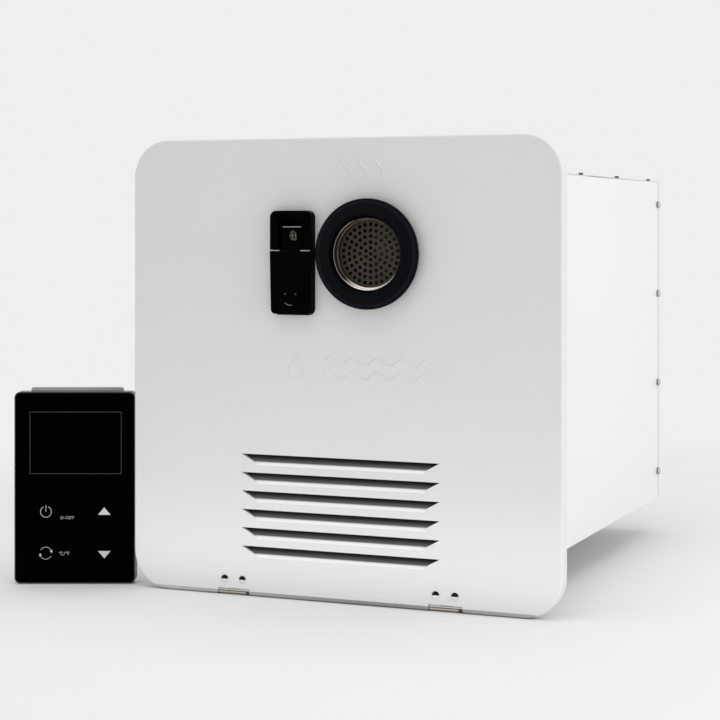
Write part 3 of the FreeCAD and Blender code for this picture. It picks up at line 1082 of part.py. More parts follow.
def controls():
    """The control box with its lid, board and power switch, and the igniter module."""
    left, right = "(-%s)" % INNER_W, "(box_width - %s)" % INNER_W
    back, top = "(box_front + box_depth)", "(box_bottom + box_height)"
    lid_back = "(box_front + box_sheet)"
    outside = box("control_outside", (left, right), (lid_back, back), ("box_bottom", top))
    inside = box("control_inside", (left + " + box_sheet", right + " - box_sheet"),
                 ("box_front", back + " - box_sheet"), ("box_bottom + box_sheet", top + " - box_sheet"))
    post_front = back + " - box_sheet - post_height"
    posts = [rod("board_post_%d_%d" % (i, k), "y", "post_radius", (x, post_front, z), "post_height")
             for i, x in enumerate((left + " + post_inset", right + " - post_inset"))
             for k, z in enumerate(("box_bottom + post_inset", top + " - post_inset"))]
    node("control_box", fuse("control_base", cut("control_shell", outside, inside), *posts))
    switch_x = "(%s - switch_width - switch_side)" % right
    switch_z = "(box_bottom + switch_height / 2 + switch_rise)"
    hole_x = centred(switch_x, "switch_width - 2 * switch_rim + 2 * switch_wall")
    hole_z = centred(switch_z, "switch_height - 2 * switch_rim + 2 * switch_wall")
    lid = plate("control_lid_blank", (left, right), ("box_front", lid_back), ("box_bottom", top), "box_corner")
    hole = box("switch_hole", hole_x, ("box_front - 1", lid_back + " + 1"), hole_z)
    node("control_box_lid", cut("control_lid", lid, hole))
    board_front = post_front + " - board_sheet"
    board = box("board_plate", (left + " + box_sheet + board_margin", right + " - box_sheet - board_margin"),
                (board_front, post_front),
                ("box_bottom + box_sheet + board_margin", top + " - box_sheet - board_margin"))
    chips = []
    for i, (x, z, width, height, depth) in enumerate(BOARD_CHIPS):
        chips.append(box("board_chip_%d" % i, centred("%s + %d" % (left, x), width),
                         ("%s - %d" % (board_front, depth), board_front), centred("box_bottom + %d" % z, height)))
    node("control_board", fuse("board", board, *chips))
    rim = plate("switch_rim_plate", centred(switch_x, "switch_width"), ("box_front - switch_proud", "box_front"),
                centred(switch_z, "switch_height"), "box_corner")
    can = box("switch_can", hole_x, ("box_front", "box_front + switch_depth"), hole_z)
    room = box("switch_room_box", centred(switch_x, "switch_width - 2 * switch_rim"),
               ("box_front - switch_proud - 1", "box_front + switch_room"),
               centred(switch_z, "switch_height - 2 * switch_rim"))
    axis_y = "(box_front + rocker_axis)"
    bore_inset = "(rocker_pin_inset - rocker_pin_gap)"
    axle = rod("switch_axle", "x", "rocker_pin + clearance",
               ("%s - switch_width / 2 + %s" % (switch_x, bore_inset), axis_y, switch_z),
               "switch_width - 2 * %s" % bore_inset)
    node("power_switch_bezel", cut("switch_bezel", fuse("switch_outside", rim, can), room, axle))
    half = "((switch_height - 2 * switch_rim) / 2 - rocker_gap)"
    left_side = switch_x + " - switch_width / 2"
    drum = rod("rocker_drum", "x", half, (left_side + " + switch_rim + rocker_gap", axis_y, switch_z),
               "switch_width - 2 * switch_rim - 2 * rocker_gap")
    slab = box("rocker_slab", centred(switch_x, "switch_width"),
               (axis_y + " - rocker_proud", axis_y + " + rocker_back"), centred(switch_z, "2 * switch_height"))
    face = document.addObject("Part::MultiCommon", "rocker_face")
    face.Shapes = [drum, slab]
    stub = rod("rocker_axle", "x", "rocker_pin", (left_side + " + rocker_pin_inset", axis_y, switch_z),
               "switch_width - 2 * rocker_pin_inset")
    node("power_switch_rocker", fuse("rocker", face, stub))
    igniter()


def igniter():
    """The igniter module on the casing's right side, with two cable towers."""
    middle = "(stack_front + igniter_middle)"
    module = plate("igniter_blank", (INNER_W + " - igniter_width", INNER_W), centred(middle, "igniter_depth"),
                   centred(CHAMBER_LOW, "igniter_height"), "igniter_corner")
    towers = []
    for i, side in enumerate((-1, 1)):
        start = (INNER_W + " - igniter_width / 2", "%s - igniter_depth / 2 - tower_height" % middle,
                 "%s + (%d) * tower_rise" % (CHAMBER_LOW, side))
        towers.append(rod("igniter_tower_%d" % i, "y", "tower_radius", start, "tower_height + 1"))
    node("igniter_module", fuse("igniter", module, *towers))


# ---------------------------------------------------------------- door

def wedge(name, low_width, high_width, height, low_depth, high_depth, proud, x, y, z):
    """A slab that rises along +Z and grows from one depth behind its front face to another."""
    item = document.addObject("Part::Wedge", name)
    tie(item, Xmin="-(%s) / 2" % low_width, Xmax="(%s) / 2" % low_width, X2min="-(%s) / 2" % high_width,
        X2max="(%s) / 2" % high_width, Ymin=0, Ymax=height, Zmin="-(%s)" % low_depth, Zmax=proud,
        Z2min="-(%s)" % high_depth, Z2max=proud)
    return place(item, x, y, z, Rotation(Vector(1, 0, 0), 90))


def door_panel():
    """The folded door with its louvres, its exhaust hole, latch cut-out and hinge notches."""
    x, z = ("-" + DOOR_HALF, DOOR_HALF), (DOOR_LOW, DOOR_HIGH)
    outer = plate("door_blank", x, (DOOR_FRONT, 0), z, "door_corner")
    outer = filleted("door_outside", outer, "door_edge", in_plane("y", DOOR_FRONT))
    inner = plate("door_hollow", ("door_sheet - " + DOOR_HALF, DOOR_HALF + " - door_sheet"),
                  (DOOR_BACK, REACH), (DOOR_LOW + " + door_sheet", DOOR_HIGH + " - door_sheet"),
                  "door_corner - door_sheet")
    inner = filleted("door_inside", inner, "door_edge - door_sheet", in_plane("y", DOOR_BACK))
    scoops, voids = [], []
    for i in range(LOUVRES):
        level = "-louvre_first - louvre_height - %d * louvre_pitch" % i
        scoops.append(wedge("louvre_scoop_%d" % i, "louvre_bend_width + 2 * door_sheet",
                            "louvre_top_width + 2 * door_sheet", "louvre_height", "door_sheet",
                            "louvre_reach + door_sheet", 0, 0, DOOR_FRONT, level))
        voids.append(wedge("louvre_void_%d" % i, "louvre_bend_width", "louvre_top_width", "louvre_height",
                           0, "louvre_reach", REACH, 0, DOOR_FRONT, level))
    openings = [rod("door_exhaust_hole", "y", "ring_radius - ring_neck",
                    ("exhaust_x", DOOR_FRONT + " - 1", "exhaust_z"), "door_sheet + 2")]
    latch_margin = "2 * latch_rim + 2 * latch_wall + 2 * latch_door_gap"
    openings.append(box("door_latch_hole", centred("-latch_x", "latch_width - " + latch_margin),
                        (DOOR_FRONT + " - 1", DOOR_BACK + " + 1"),
                        centred("latch_z", "latch_height - " + latch_margin)))
    for side, middle in HINGES:
        openings.append(box("hinge_notch_" + side, centred(middle, "hinge_width + 4 * hinge_gap"),
                            (DOOR_FRONT + " - 1", REACH),
                            (DOOR_LOW + " - 1", HINGE_Z + " + hinge_knuckle + 2 * hinge_gap")))
        for i in (-1, 1):
            openings.append(rod("rivet_hole_%s_%d" % (side, i + 1), "y", "rivet_shank",
                                ("%s + (%d) * rivet_spacing / 2" % (middle, i), DOOR_FRONT + " - 1",
                                 HINGE_Z + " + rivet_rise"), "door_sheet + 2"))
    pan = fuse("door_and_scoops", cut("door_pan", outer, inner), *scoops)
    pan = cut("door_cut", pan, *voids, *openings)
    front, width = value(DOOR_FRONT), value("louvre_bend_width")

    def is_bend(edge):
        low, high = edge.BoundBox.YMin, edge.BoundBox.YMax
        return abs(low - front) < 0.001 and abs(high - front) < 0.001 and abs(edge.Length - width) < 0.01

    node("door_panel", filleted("door_finished", pan, "louvre_bend", is_bend))


def seal_ring():
    """The rubber ring that is clipped into the door round the exhaust pipe."""
    inner = "(exhaust_radius - exhaust_wall / 2 + exhaust_rim + ring_gap)"
    brim_back = "(%s - ring_shoulder_height)" % DOOR_FRONT
    brim_front = "(%s - ring_brim_height)" % brim_back
    brim = rod("ring_brim_blank", "y", "ring_radius", ("exhaust_x", brim_front, "exhaust_z"), "ring_brim_height")
    brim = filleted("ring_brim_round", brim, "ring_brim_height / 3", in_plane("y", brim_front))
    shoulder = rod("ring_shoulder_blank", "y", "ring_radius - ring_shoulder",
                   ("exhaust_x", brim_back, "exhaust_z"), "ring_shoulder_height")
    slope = cone("ring_cone", "y", inner + " + ring_lip", "ring_radius - ring_brim",
                 ("exhaust_x", brim_front + " - ring_cone_height", "exhaust_z"), "ring_cone_height")
    neck = rod("ring_neck_blank", "y", "ring_radius - ring_neck",
               ("exhaust_x", DOOR_FRONT, "exhaust_z"), "door_sheet")
    clip = rod("ring_clip_blank", "y", "ring_radius - 1", ("exhaust_x", DOOR_BACK, "exhaust_z"), "ring_clip")
    bore = rod("ring_bore", "y", inner, ("exhaust_x", brim_front + " - 20", "exhaust_z"), 60)
    node("exhaust_seal_ring", cut("ring", fuse("ring_outside", brim, slope, shoulder, neck, clip), bore))


def latch():
    """The paddle latch: housing, paddle on its pin, cap, bolt, and lock cylinder."""
    pocket_x = centred("-latch_x", "latch_width - 2 * latch_rim")
    pocket_z = centred("latch_z", "latch_height - 2 * latch_rim")
    bezel = plate("latch_bezel_blank", centred("-latch_x", "latch_width"), (LATCH_FRONT, DOOR_FRONT),
                  centred("latch_z", "latch_height"), "latch_corner")
    shell = box("latch_shell", centred("-latch_x", "latch_width - 2 * latch_rim + 2 * latch_wall"),
                (DOOR_FRONT, POCKET_FLOOR + " + latch_wall"),
                centred("latch_z", "latch_height - 2 * latch_rim + 2 * latch_wall"))
    brow_front = "(%s - latch_brow)" % LATCH_FRONT
    brow = plate("latch_brow_blank", centred("-latch_x", "latch_width"), (brow_front, LATCH_FRONT),
                 centred("latch_z", "latch_height"), "latch_corner")
    below = box("latch_brow_cut", centred("-latch_x", "latch_width + 2"), (brow_front + " - 1", LATCH_FRONT + " + 1"),
                ("latch_z - latch_height", PADDLE_HIGH + " + paddle_gap"))
    room = box("latch_room", pocket_x, (brow_front + " - 1", POCKET_FLOOR), pocket_z)
    brow = filleted("latch_brow_round", cut("latch_brow_hollow", brow, below, room), "latch_edge",
                    in_plane("y", brow_front))
    window_z = "(%s + tongue_height - window_margin - window_height / 2)" % PADDLE_HIGH
    boss = rod("lock_boss_rod", "y", "lock_radius + lock_boss", ("-latch_x", POCKET_FLOOR + " - 2", window_z), 2)
    lock_bore = rod("lock_bore", "y", "lock_radius + clearance",
                    ("-latch_x", POCKET_FLOOR + " - latch_depth", window_z), "2 * latch_depth")
    rails = []
    back = BOLT_FACE + " + bolt_thick + 2 * paddle_gap"
    run = centred("latch_z", "guide_length")
    for i, side in enumerate((-1, 1)):
        rail_x = centred("(%d) * (bolt_width / 2 + paddle_gap + guide_width / 2) - latch_x" % side, "guide_width")
        hook_width = "guide_width + paddle_gap + guide_hook"
        hook_x = centred("(%d) * (bolt_width / 2 - guide_hook + (%s) / 2) - latch_x" % (side, hook_width), hook_width)
        rails.append(box("guide_rail_%d" % i, rail_x, (BOLT_FACE, back + " + guide_sheet"), run))
        rails.append(box("guide_hook_%d" % i, hook_x, (back, back + " + guide_sheet"), run))
    ears, slots = [], []
    for i, side in enumerate((-1, 1)):
        middle = "(%d) * ear_spacing / 2 - latch_x" % side
        low, high = centred(middle, "ear_width")
        ears.append(rod("ear_round_%d" % i, "x", "ear_radius", (low, PADDLE_PIN_Y, PADDLE_PIN_Z), "ear_width"))
        ears.append(box("ear_neck_%d" % i, (low, high), (PADDLE_PIN_Y, LATCH_FRONT),
                        centred(PADDLE_PIN_Z, "2 * ear_radius")))
        slots.append(box("paddle_slot_%d" % i, (low + " - paddle_gap", high + " + paddle_gap"),
                         (PADDLE_PIN_Y + " - ear_radius - paddle_gap", PADDLE_BACK + " + 1"),
                         (PADDLE_LOW + " - 1", PADDLE_PIN_Z + " + ear_radius + paddle_gap")))
    pin_start = ("latch_pin_inset - latch_x - latch_width / 2", PADDLE_PIN_Y, PADDLE_PIN_Z)
    pin_hole = rod("ear_bore", "x", "paddle_pin", pin_start, "latch_width - 2 * latch_pin_inset")
    housing = fuse("latch_outside", bezel, shell, *ears)
    housing = fuse("latch_with_rails", cut("latch_hollow", housing, room), brow, boss, *rails)
    node("latch_housing", cut("latch_body", housing, lock_bore, pin_hole))
    node("latch_pin", rod("paddle_pin_rod", "x", "paddle_pin", pin_start, "latch_width - 2 * latch_pin_inset"))
    paddle(window_z, slots)
    bolt_y = ("%s + paddle_gap" % BOLT_FACE, "%s + paddle_gap + bolt_thick" % BOLT_FACE)
    node("latch_bolt", plate("bolt_blank", centred("-latch_x", "bolt_width"), bolt_y,
                             (BOLT_TOP + " - bolt_length", BOLT_TOP), "bolt_corner"))
    barrel = rod("lock_barrel", "y", "lock_radius", ("-latch_x", POCKET_FLOOR + " - lock_height", window_z),
                 "lock_height + latch_wall")
    key_way = box("key_way", centred("-latch_x", "key_way_width"), (POCKET_FLOOR + " - lock_height - 1", POCKET_FLOOR),
                  centred(window_z, "key_way_height"))
    node("lock_cylinder", cut("lock", barrel, key_way))
    keeper()


def paddle(window_z, slots):
    """The paddle with its tongue, arched window, bolt finger and round cap; slots clear the bezel's ears."""
    width = "latch_width - 2 * paddle_gap"
    slab = wedge("paddle_slab", width, width, "%s - %s" % (PADDLE_HIGH, PADDLE_PIN_Z), 0, 0, "paddle_thick",
                 "-latch_x", PADDLE_BACK, PADDLE_PIN_Z)
    tie(slab, Z2max="paddle_thick + paddle_rise")
    front_limit = value("%s - paddle_thick * 0.8" % PADDLE_BACK)
    low_limit = value("%s - paddle_height * 0.75" % PADDLE_HIGH)

    def is_front(edge):
        middle = edge.CenterOfMass
        return middle.y < front_limit and middle.z > low_limit

    slab = filleted("paddle_round", slab, "paddle_rise / 2", is_front)
    heel = rod("paddle_heel", "x", "paddle_thick / 2",
               ("-latch_x - latch_width / 2 + paddle_gap", PADDLE_PIN_Y, PADDLE_PIN_Z), width)
    tongue = plate("tongue_blank", centred("-latch_x", "tongue_width"), (PADDLE_BACK + " - tongue_thick", PADDLE_BACK),
                   (PADDLE_HIGH + " - 1", PADDLE_HIGH + " + tongue_height"), "tongue_corner")
    finger = box("paddle_finger", centred("-latch_x", "finger_width"), (PADDLE_BACK, POCKET_FLOOR + " - finger_gap"),
                 centred("latch_z", "finger_height"))
    window = box("window_box", centred("-latch_x", "window_width"), (PADDLE_BACK + " - 10", PADDLE_BACK + " + 1"),
                 (window_z + " - window_height / 2", window_z))
    arch = rod("window_arch", "y", "window_width / 2", ("-latch_x", PADDLE_BACK + " - 10", window_z), 11)
    cap_z = "(%s + cap_rise)" % PADDLE_LOW
    seat = "(%s - cap_seat)" % PADDLE_BACK
    cap_front = "(%s - paddle_thick - paddle_rise * cap_rise / paddle_height - cap_height)" % PADDLE_BACK
    cap_hole = rod("cap_hole", "y", "cap_radius", ("-latch_x", seat + " - 20", cap_z), 20)
    handle_bore = rod("paddle_bore", "x", "paddle_pin + clearance",
                      ("-latch_x - latch_width", PADDLE_PIN_Y, PADDLE_PIN_Z), "2 * latch_width")
    corners = []
    for i, side in enumerate((-1, 1)):
        edge = "(%d) * (latch_width / 2 - paddle_gap) - latch_x" % side
        block = box("paddle_corner_block_%d" % i, centred(edge, "2 * latch_corner"),
                    (PADDLE_BACK + " - 20", PADDLE_BACK + " + 1"),
                    (PADDLE_LOW + " - 2", PADDLE_LOW + " + latch_corner"))
        curve = rod("paddle_corner_curve_%d" % i, "y", "latch_corner",
                    ("%s - (%d) * latch_corner" % (edge, side), PADDLE_BACK + " - 21", PADDLE_LOW + " + latch_corner"),
                    25)
        corners.append(cut("paddle_corner_%d" % i, block, curve))
    outside = fuse("paddle_outside", slab, heel, tongue, finger)
    node("latch_paddle", cut("paddle", outside, window, arch, cap_hole, handle_bore, *slots, *corners))
    cap = rod("cap_blank", "y", "cap_radius", ("-latch_x", cap_front, cap_z), "%s - %s" % (seat, cap_front))
    cap = filleted("cap_round", cap, "cap_height * 0.6", in_plane("y", cap_front))
    dots = []
    for i, side in enumerate((-1, 1)):
        start = ("(%d) * cap_dot_spacing / 2 - latch_x" % side, cap_front + " - 1", cap_z + " + cap_dot_rise")
        dots.append(rod("cap_dot_%d" % i, "y", "cap_dot", start, "1 + cap_height"))
    node("paddle_cap", cut("cap", cap, *dots))


def keeper():
    """The bracket under the top cover that the latch bolt goes behind."""
    x = centred("-latch_x", "keeper_width")
    drop_front, low = "(casing_lip - keeper_inset)", "(%s + bolt_gap)" % BOLT_TOP
    top = CEILING + " - casing_sheet"
    bolt_front = "(%s + paddle_gap)" % BOLT_FACE
    drop = box("keeper_drop", x, (drop_front, drop_front + " + keeper_sheet"), (low, top))
    foot = box("keeper_foot_plate", x, (drop_front, "casing_lip + keeper_foot"), (top + " - keeper_sheet", top))
    shelf = box("keeper_shelf", x, (bolt_front + " - keeper_sheet", drop_front + " + keeper_sheet"),
                (low, low + " + keeper_sheet"))
    lip = box("keeper_lip_plate", x, (bolt_front + " - keeper_sheet", bolt_front), (low, low + " + keeper_lip"))
    node("latch_keeper", fuse("keeper_bracket", drop, foot, shelf, lip))


def hinges():
    """Two butt hinges on the door's bottom edge: leaves, pins and rivets."""
    door_leaves, frame_leaves, pins, rivets = [], [], [], []
    half, middle_half = "hinge_width / 2", "hinge_middle / 2"
    root = "(%s + hinge_knuckle + hinge_gap)" % HINGE_Z
    for side, middle in HINGES:
        full = ("%s - %s" % (middle, half), "%s + %s" % (middle, half))
        spans = [(full[0], "%s - %s - hinge_gap" % (middle, middle_half)),
                 ("%s + %s + hinge_gap" % (middle, middle_half), full[1])]
        leaf_y = (DOOR_BACK, DOOR_BACK + " + hinge_leaf")
        pieces = [box("door_leaf_" + side, full, leaf_y, (root, HINGE_Z + " + hinge_leaf_height"))]
        for i, span in enumerate(spans):
            name = "%s_%d" % (side, i)
            length = "%s - (%s)" % (span[1], span[0])
            pieces.append(box("door_leaf_leg_" + name, span, leaf_y, (HINGE_Z, root)))
            pieces.append(rod("door_knuckle_" + name, "x", "hinge_knuckle", (span[0], HINGE_Y, HINGE_Z), length))
        bore = rod("door_leaf_bore_" + side, "x", "hinge_pin + clearance", (full[0] + " - 1", HINGE_Y, HINGE_Z),
                   "hinge_width + 2")
        holes = []
        for i in (-1, 1):
            name = "%s_%d" % (side, i + 1)
            x, z = "%s + (%d) * rivet_spacing / 2" % (middle, i), HINGE_Z + " + rivet_rise"
            holes.append(rod("leaf_rivet_hole_" + name, "y", "rivet_shank", (x, DOOR_BACK + " - 1", z), 4))
            head = rod("rivet_head_" + name, "y", "rivet_head", (x, DOOR_FRONT + " - rivet_height", z), "rivet_height")
            head = filleted("rivet_dome_" + name, head, "rivet_height * 0.9",
                            in_plane("y", DOOR_FRONT + " - rivet_height"))
            shank = rod("rivet_shank_" + name, "y", "rivet_shank", (x, DOOR_FRONT, z), "door_sheet + hinge_leaf")
            tail = rod("rivet_tail_" + name, "y", "rivet_head * 0.8",
                       (x, DOOR_BACK + " + hinge_leaf", z), "rivet_tail")
            rivets.append(fuse("rivet_" + name, head, shank, tail))
        door_leaves.append(cut("door_leaf_done_" + side, fuse("door_leaf_sum_" + side, *pieces), bore, *holes))
        core = ("%s - %s" % (middle, middle_half), "%s + %s" % (middle, middle_half))
        knuckle = rod("frame_knuckle_" + side, "x", "hinge_knuckle", (core[0], HINGE_Y, HINGE_Z), "hinge_middle")
        web = centred(HINGE_Z, "hinge_leaf")
        neck = box("frame_neck_" + side, core, (HINGE_Y, HINGE_Y + " + hinge_knuckle + hinge_gap + 1"), web)
        wide = box("frame_web_" + side, full, (HINGE_Y + " + hinge_knuckle + hinge_gap", "-flange_sheet"), web)
        leg = box("frame_leg_" + side, full, ("-flange_sheet - hinge_leaf", "-flange_sheet"),
                  (web[0], HINGE_Z + " + hinge_leaf_height"))
        hole = rod("frame_bore_" + side, "x", "hinge_pin", (full[0], HINGE_Y, HINGE_Z), "hinge_width")
        screw_holes = []
        for i in (-1, 1):
            start = ("%s + (%d) * rivet_spacing / 2" % (middle, i), "-flange_sheet - hinge_leaf - 1", HINGE_SCREW_Z)
            screw_holes.append(rod("leg_hole_%s_%d" % (side, i + 1), "y", "rivet_shank", start, "hinge_leaf + 2"))
        leaf = fuse("frame_leaf_sum_" + side, knuckle, neck, wide, leg)
        frame_leaves.append(cut("frame_leaf_done_" + side, leaf, hole, *screw_holes))
        pins.append(rod("hinge_pin_" + side, "x", "hinge_pin", (full[0], HINGE_Y, HINGE_Z), "hinge_width"))
    node("hinge_door_leaves", group("door_leaf_set", *door_leaves))
    node("hinge_frame_leaves", group("frame_leaf_set", *frame_leaves))
    node("hinge_pins", group("hinge_pin_set", *pins))
    node("hinge_rivets", group("rivet_set", *rivets))


# ---------------------------------------------------------------- wall controller

def controller():
    """The wall controller: case, glass front, screen, board, socket and wall plate."""
    height, depth = "controller_height", "controller_case"
    case = plate("controller_blank", ("-controller_width", 0), (0, depth), (0, height), "controller_corner")
    glass_x = ("controller_rim - controller_width", "-controller_rim")
    glass_z = ("controller_rim", height + " - controller_rim")
    glass_corner = "controller_corner - controller_rim"
    seat = plate("controller_seat", glass_x, (-1, "controller_glass"), glass_z, glass_corner)
    room = plate("controller_room", ("controller_wall - controller_width", "-controller_wall"),
                 (-1, depth + " - controller_wall"), ("controller_wall", height + " - controller_wall"),
                 "controller_corner - controller_wall")
    socket_x = centred("-controller_width / 2", "socket_width")
    socket_z = centred("controller_height * 0.3", "socket_height")
    socket_hole = box("controller_socket_hole", socket_x, (depth + " - controller_wall - 1", depth + " + 1"),
                      socket_z)
    case = cut("controller_shell", case, seat, room, socket_hole)
    glass = plate("glass_blank", glass_x, (0, "controller_glass"), glass_z, glass_corner)
    screen_z = "controller_height - screen_top"
    screen = box("screen", ("screen_left - controller_width", "screen_left + screen_width - controller_width"),
                 ("controller_glass", "controller_glass + screen_depth"), (screen_z + " - screen_height", screen_z))
    board_y = "(controller_glass + screen_depth)"
    board_back = "(%s + board_sheet)" % board_y
    board = box("controller_board_plate", ("controller_wall + 1 - controller_width", "-controller_wall - 1"),
                (board_y, board_back), ("controller_wall + 1", height + " - controller_wall - 1"))
    keys, posts = [], []
    for across in (0.26, 0.74):
        for up in (0.16, 0.37):
            start = ("-%.2f * controller_width" % across, "controller_glass", "%.2f * controller_height" % up)
            keys.append(rod("touch_key_%d" % len(keys), "y", "key_radius", start, "screen_depth"))
    for across in (0.1, 0.9):
        for up in (0.1, 0.9):
            start = ("-%.1f * controller_width" % across, board_back, "%.1f * controller_height" % up)
            posts.append(rod("controller_post_%d" % len(posts), "y", "controller_post", start,
                             "%s - controller_wall - %s" % (depth, board_back)))
    chip = box("controller_chip_box", centred("-controller_width / 2", "controller_chip"),
               (board_back, board_back + " + board_sheet"), centred("controller_height * 0.6", "controller_chip"))
    case = fuse("controller_shell_posts", case, *posts)
    socket = box("socket_block", socket_x, (board_back, depth + " + controller_mount - 1"), socket_z)
    contacts = []
    for i in (-1, 0, 1):
        across = centred("(%d) * contact_pitch - controller_width / 2" % i, "socket_contact")
        contacts.append(box("socket_contact_%d" % (i + 1), across,
                            (depth + " + controller_mount - contact_depth", depth + " + controller_mount"),
                            centred("controller_height * 0.3", "socket_contact")))
    socket = cut("socket", socket, *contacts)
    wall_plate = plate("wall_plate_blank", centred("-controller_width / 2", "controller_width * 0.77"),
                       (depth, depth + " + controller_mount"),
                       ("controller_height * 0.12", height + " + plate_rise"), "plate_corner")
    window = box("wall_plate_window", centred("-controller_width / 2", "plate_window"),
                 (depth + " - 1", depth + " + controller_mount + 1"),
                 (socket_z[0] + " - plate_window_margin", socket_z[1] + " + unclip_travel + plate_window_margin / 2"))
    plate_holes = []
    for i, side in enumerate((-1, 1)):
        level = "controller_height / 2 + (%d) * controller_screw_spacing / 2" % side
        plate_holes.append(rod("wall_plate_hole_%d" % i, "y", "controller_screw / 2",
                               ("-controller_width / 2", depth + " - 1", level), "controller_mount + 2"))
    wall_plate = cut("wall_plate", wall_plate, window, *plate_holes)
    turn = Rotation(Vector(0, 0, 1), CONTROLLER_TURN)
    for name, item in (("controller_case", case), ("controller_glass", glass),
                       ("controller_screen", group("screen_module", screen)),
                       ("controller_board", fuse("controller_board_sum", board, chip, socket, *keys)),
                       ("controller_wall_plate", wall_plate)):
        place(item, "-%s - controller_gap" % DOOR_HALF, "-controller_y", DOOR_LOW, turn)
        node(name, item)


# ---------------------------------------------------------------- build and export

for make in (casing, exhaust, stack, gas_line, fan, water, controls, door_panel, seal_ring, latch, hinges, controller):
    make()
document.recompute()
faults = [item.Label for item in document.Objects if {"Invalid", "Error"} & set(item.State)]
for name, item in nodes.items():
    if item.Shape.isNull() or not item.Shape.isValid() or not item.Shape.Solids:
        faults.append(name)
if faults:
    raise RuntimeError("failed objects: " + ", ".join(faults))
os.makedirs("parts", exist_ok=True)
for name, item in nodes.items():
    item.Shape.exportStep("parts/%s.step" % name)
print(len(nodes), "nodes written")
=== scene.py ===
import json
import math

import bpy
from mathutils import Matrix, Vector


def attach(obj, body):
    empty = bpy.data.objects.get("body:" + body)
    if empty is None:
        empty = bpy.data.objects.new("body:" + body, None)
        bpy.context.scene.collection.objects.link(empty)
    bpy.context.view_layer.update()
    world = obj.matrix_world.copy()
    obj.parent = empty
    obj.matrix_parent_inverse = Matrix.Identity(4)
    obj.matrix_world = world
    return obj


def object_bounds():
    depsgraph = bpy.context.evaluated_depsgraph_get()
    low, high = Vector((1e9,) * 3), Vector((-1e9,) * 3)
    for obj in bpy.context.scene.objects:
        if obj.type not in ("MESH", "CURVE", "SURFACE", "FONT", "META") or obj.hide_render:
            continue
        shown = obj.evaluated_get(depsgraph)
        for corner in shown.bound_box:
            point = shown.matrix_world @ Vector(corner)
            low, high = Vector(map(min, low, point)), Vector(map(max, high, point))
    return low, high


# Looks of a built-in tankless water heater with its wall controller.
# Metres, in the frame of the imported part: X to the right, Y into the wall, Z up.

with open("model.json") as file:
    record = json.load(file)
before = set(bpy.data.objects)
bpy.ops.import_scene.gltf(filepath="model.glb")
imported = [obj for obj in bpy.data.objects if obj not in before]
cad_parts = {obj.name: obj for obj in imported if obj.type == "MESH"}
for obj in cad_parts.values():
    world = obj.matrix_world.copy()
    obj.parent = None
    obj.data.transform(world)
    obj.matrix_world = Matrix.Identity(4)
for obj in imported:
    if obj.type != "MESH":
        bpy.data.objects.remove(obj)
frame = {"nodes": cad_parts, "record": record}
cad_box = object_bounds()
nodes = frame["nodes"]
SLOTS = {part["node"]: part["material_slot"] for part in frame["record"]["subparts"]}

DOOR_FACE = -0.012  # depth of the door's front
DOOR_LOW = -0.1937  # level of its lower edge
HINGES = (-0.0956, 0.0931)  # middles of the hinges, across
EXHAUST = (0.028, 0.0, 0.0918)  # middle of the exhaust
LATCH_X = -0.0394  # middle of the latch, across


def grey(level):
    """A neutral colour."""
    return (level, level, level)


# ---------------------------------------------------------------- camera, floor and light

CAMERA_PLACE = (0.600, -1.382, 0.1158)
CAMERA_YAW = math.radians(21.72)
CAMERA_LENS = 91.45
CAMERA_SHIFT = (-0.0556, -0.1885)
PALE = grey(0.858)  # how the floor and backdrop look
FLOOR_HALF = 6.0
FLOOR_MIDDLE = (0.05, 0.15)
FLOOR_GAP = 0.0005  # the floor lies this far below the part
FLOOR_FADE = (0.55, 1.1)  # distances between which the floor turns into the backdrop
WORLD_LIGHT = 0.6
# Lamps, each with its place, target, size and watts.
LAMPS = {
    "overhead": ((0.05, -0.15, 2.4), (0.05, 0.0, -0.19), (3.2, 3.0), 34),
    "right": ((2.3, -0.2, 0.45), (0.1, 0.2, -0.05), (1.4, 1.2), 15),
    "card": ((0.0, -0.125, -0.19), (0.0, -0.125, 1.0), (0.66, 0.16), 0.2),
}


def camera():
    """A level view from the front right."""
    data = bpy.data.cameras.new("view")
    data.lens = CAMERA_LENS
    data.sensor_width = 36
    data.shift_x, data.shift_y = CAMERA_SHIFT
    data.clip_start = 0.01
    data.clip_end = 50
    item = bpy.data.objects.new("view", data)
    item.location = CAMERA_PLACE
    item.rotation_euler = (math.radians(90), 0, CAMERA_YAW)
    bpy.context.collection.objects.link(item)
    bpy.context.scene.camera = item


def seen_rays(tree):
    """1 for the rays that show the backdrop: from the camera, off gloss and through glass."""
    path = tree.nodes.new("ShaderNodeLightPath")
    total = path.outputs["Is Camera Ray"]
    for name in ("Is Glossy Ray", "Is Transmission Ray"):
        add = tree.nodes.new("ShaderNodeMath")
        add.operation = "ADD"
        add.use_clamp = True
        tree.links.new(total, add.inputs[0])
        tree.links.new(path.outputs[name], add.inputs[1])
        total = add.outputs[0]
    return total


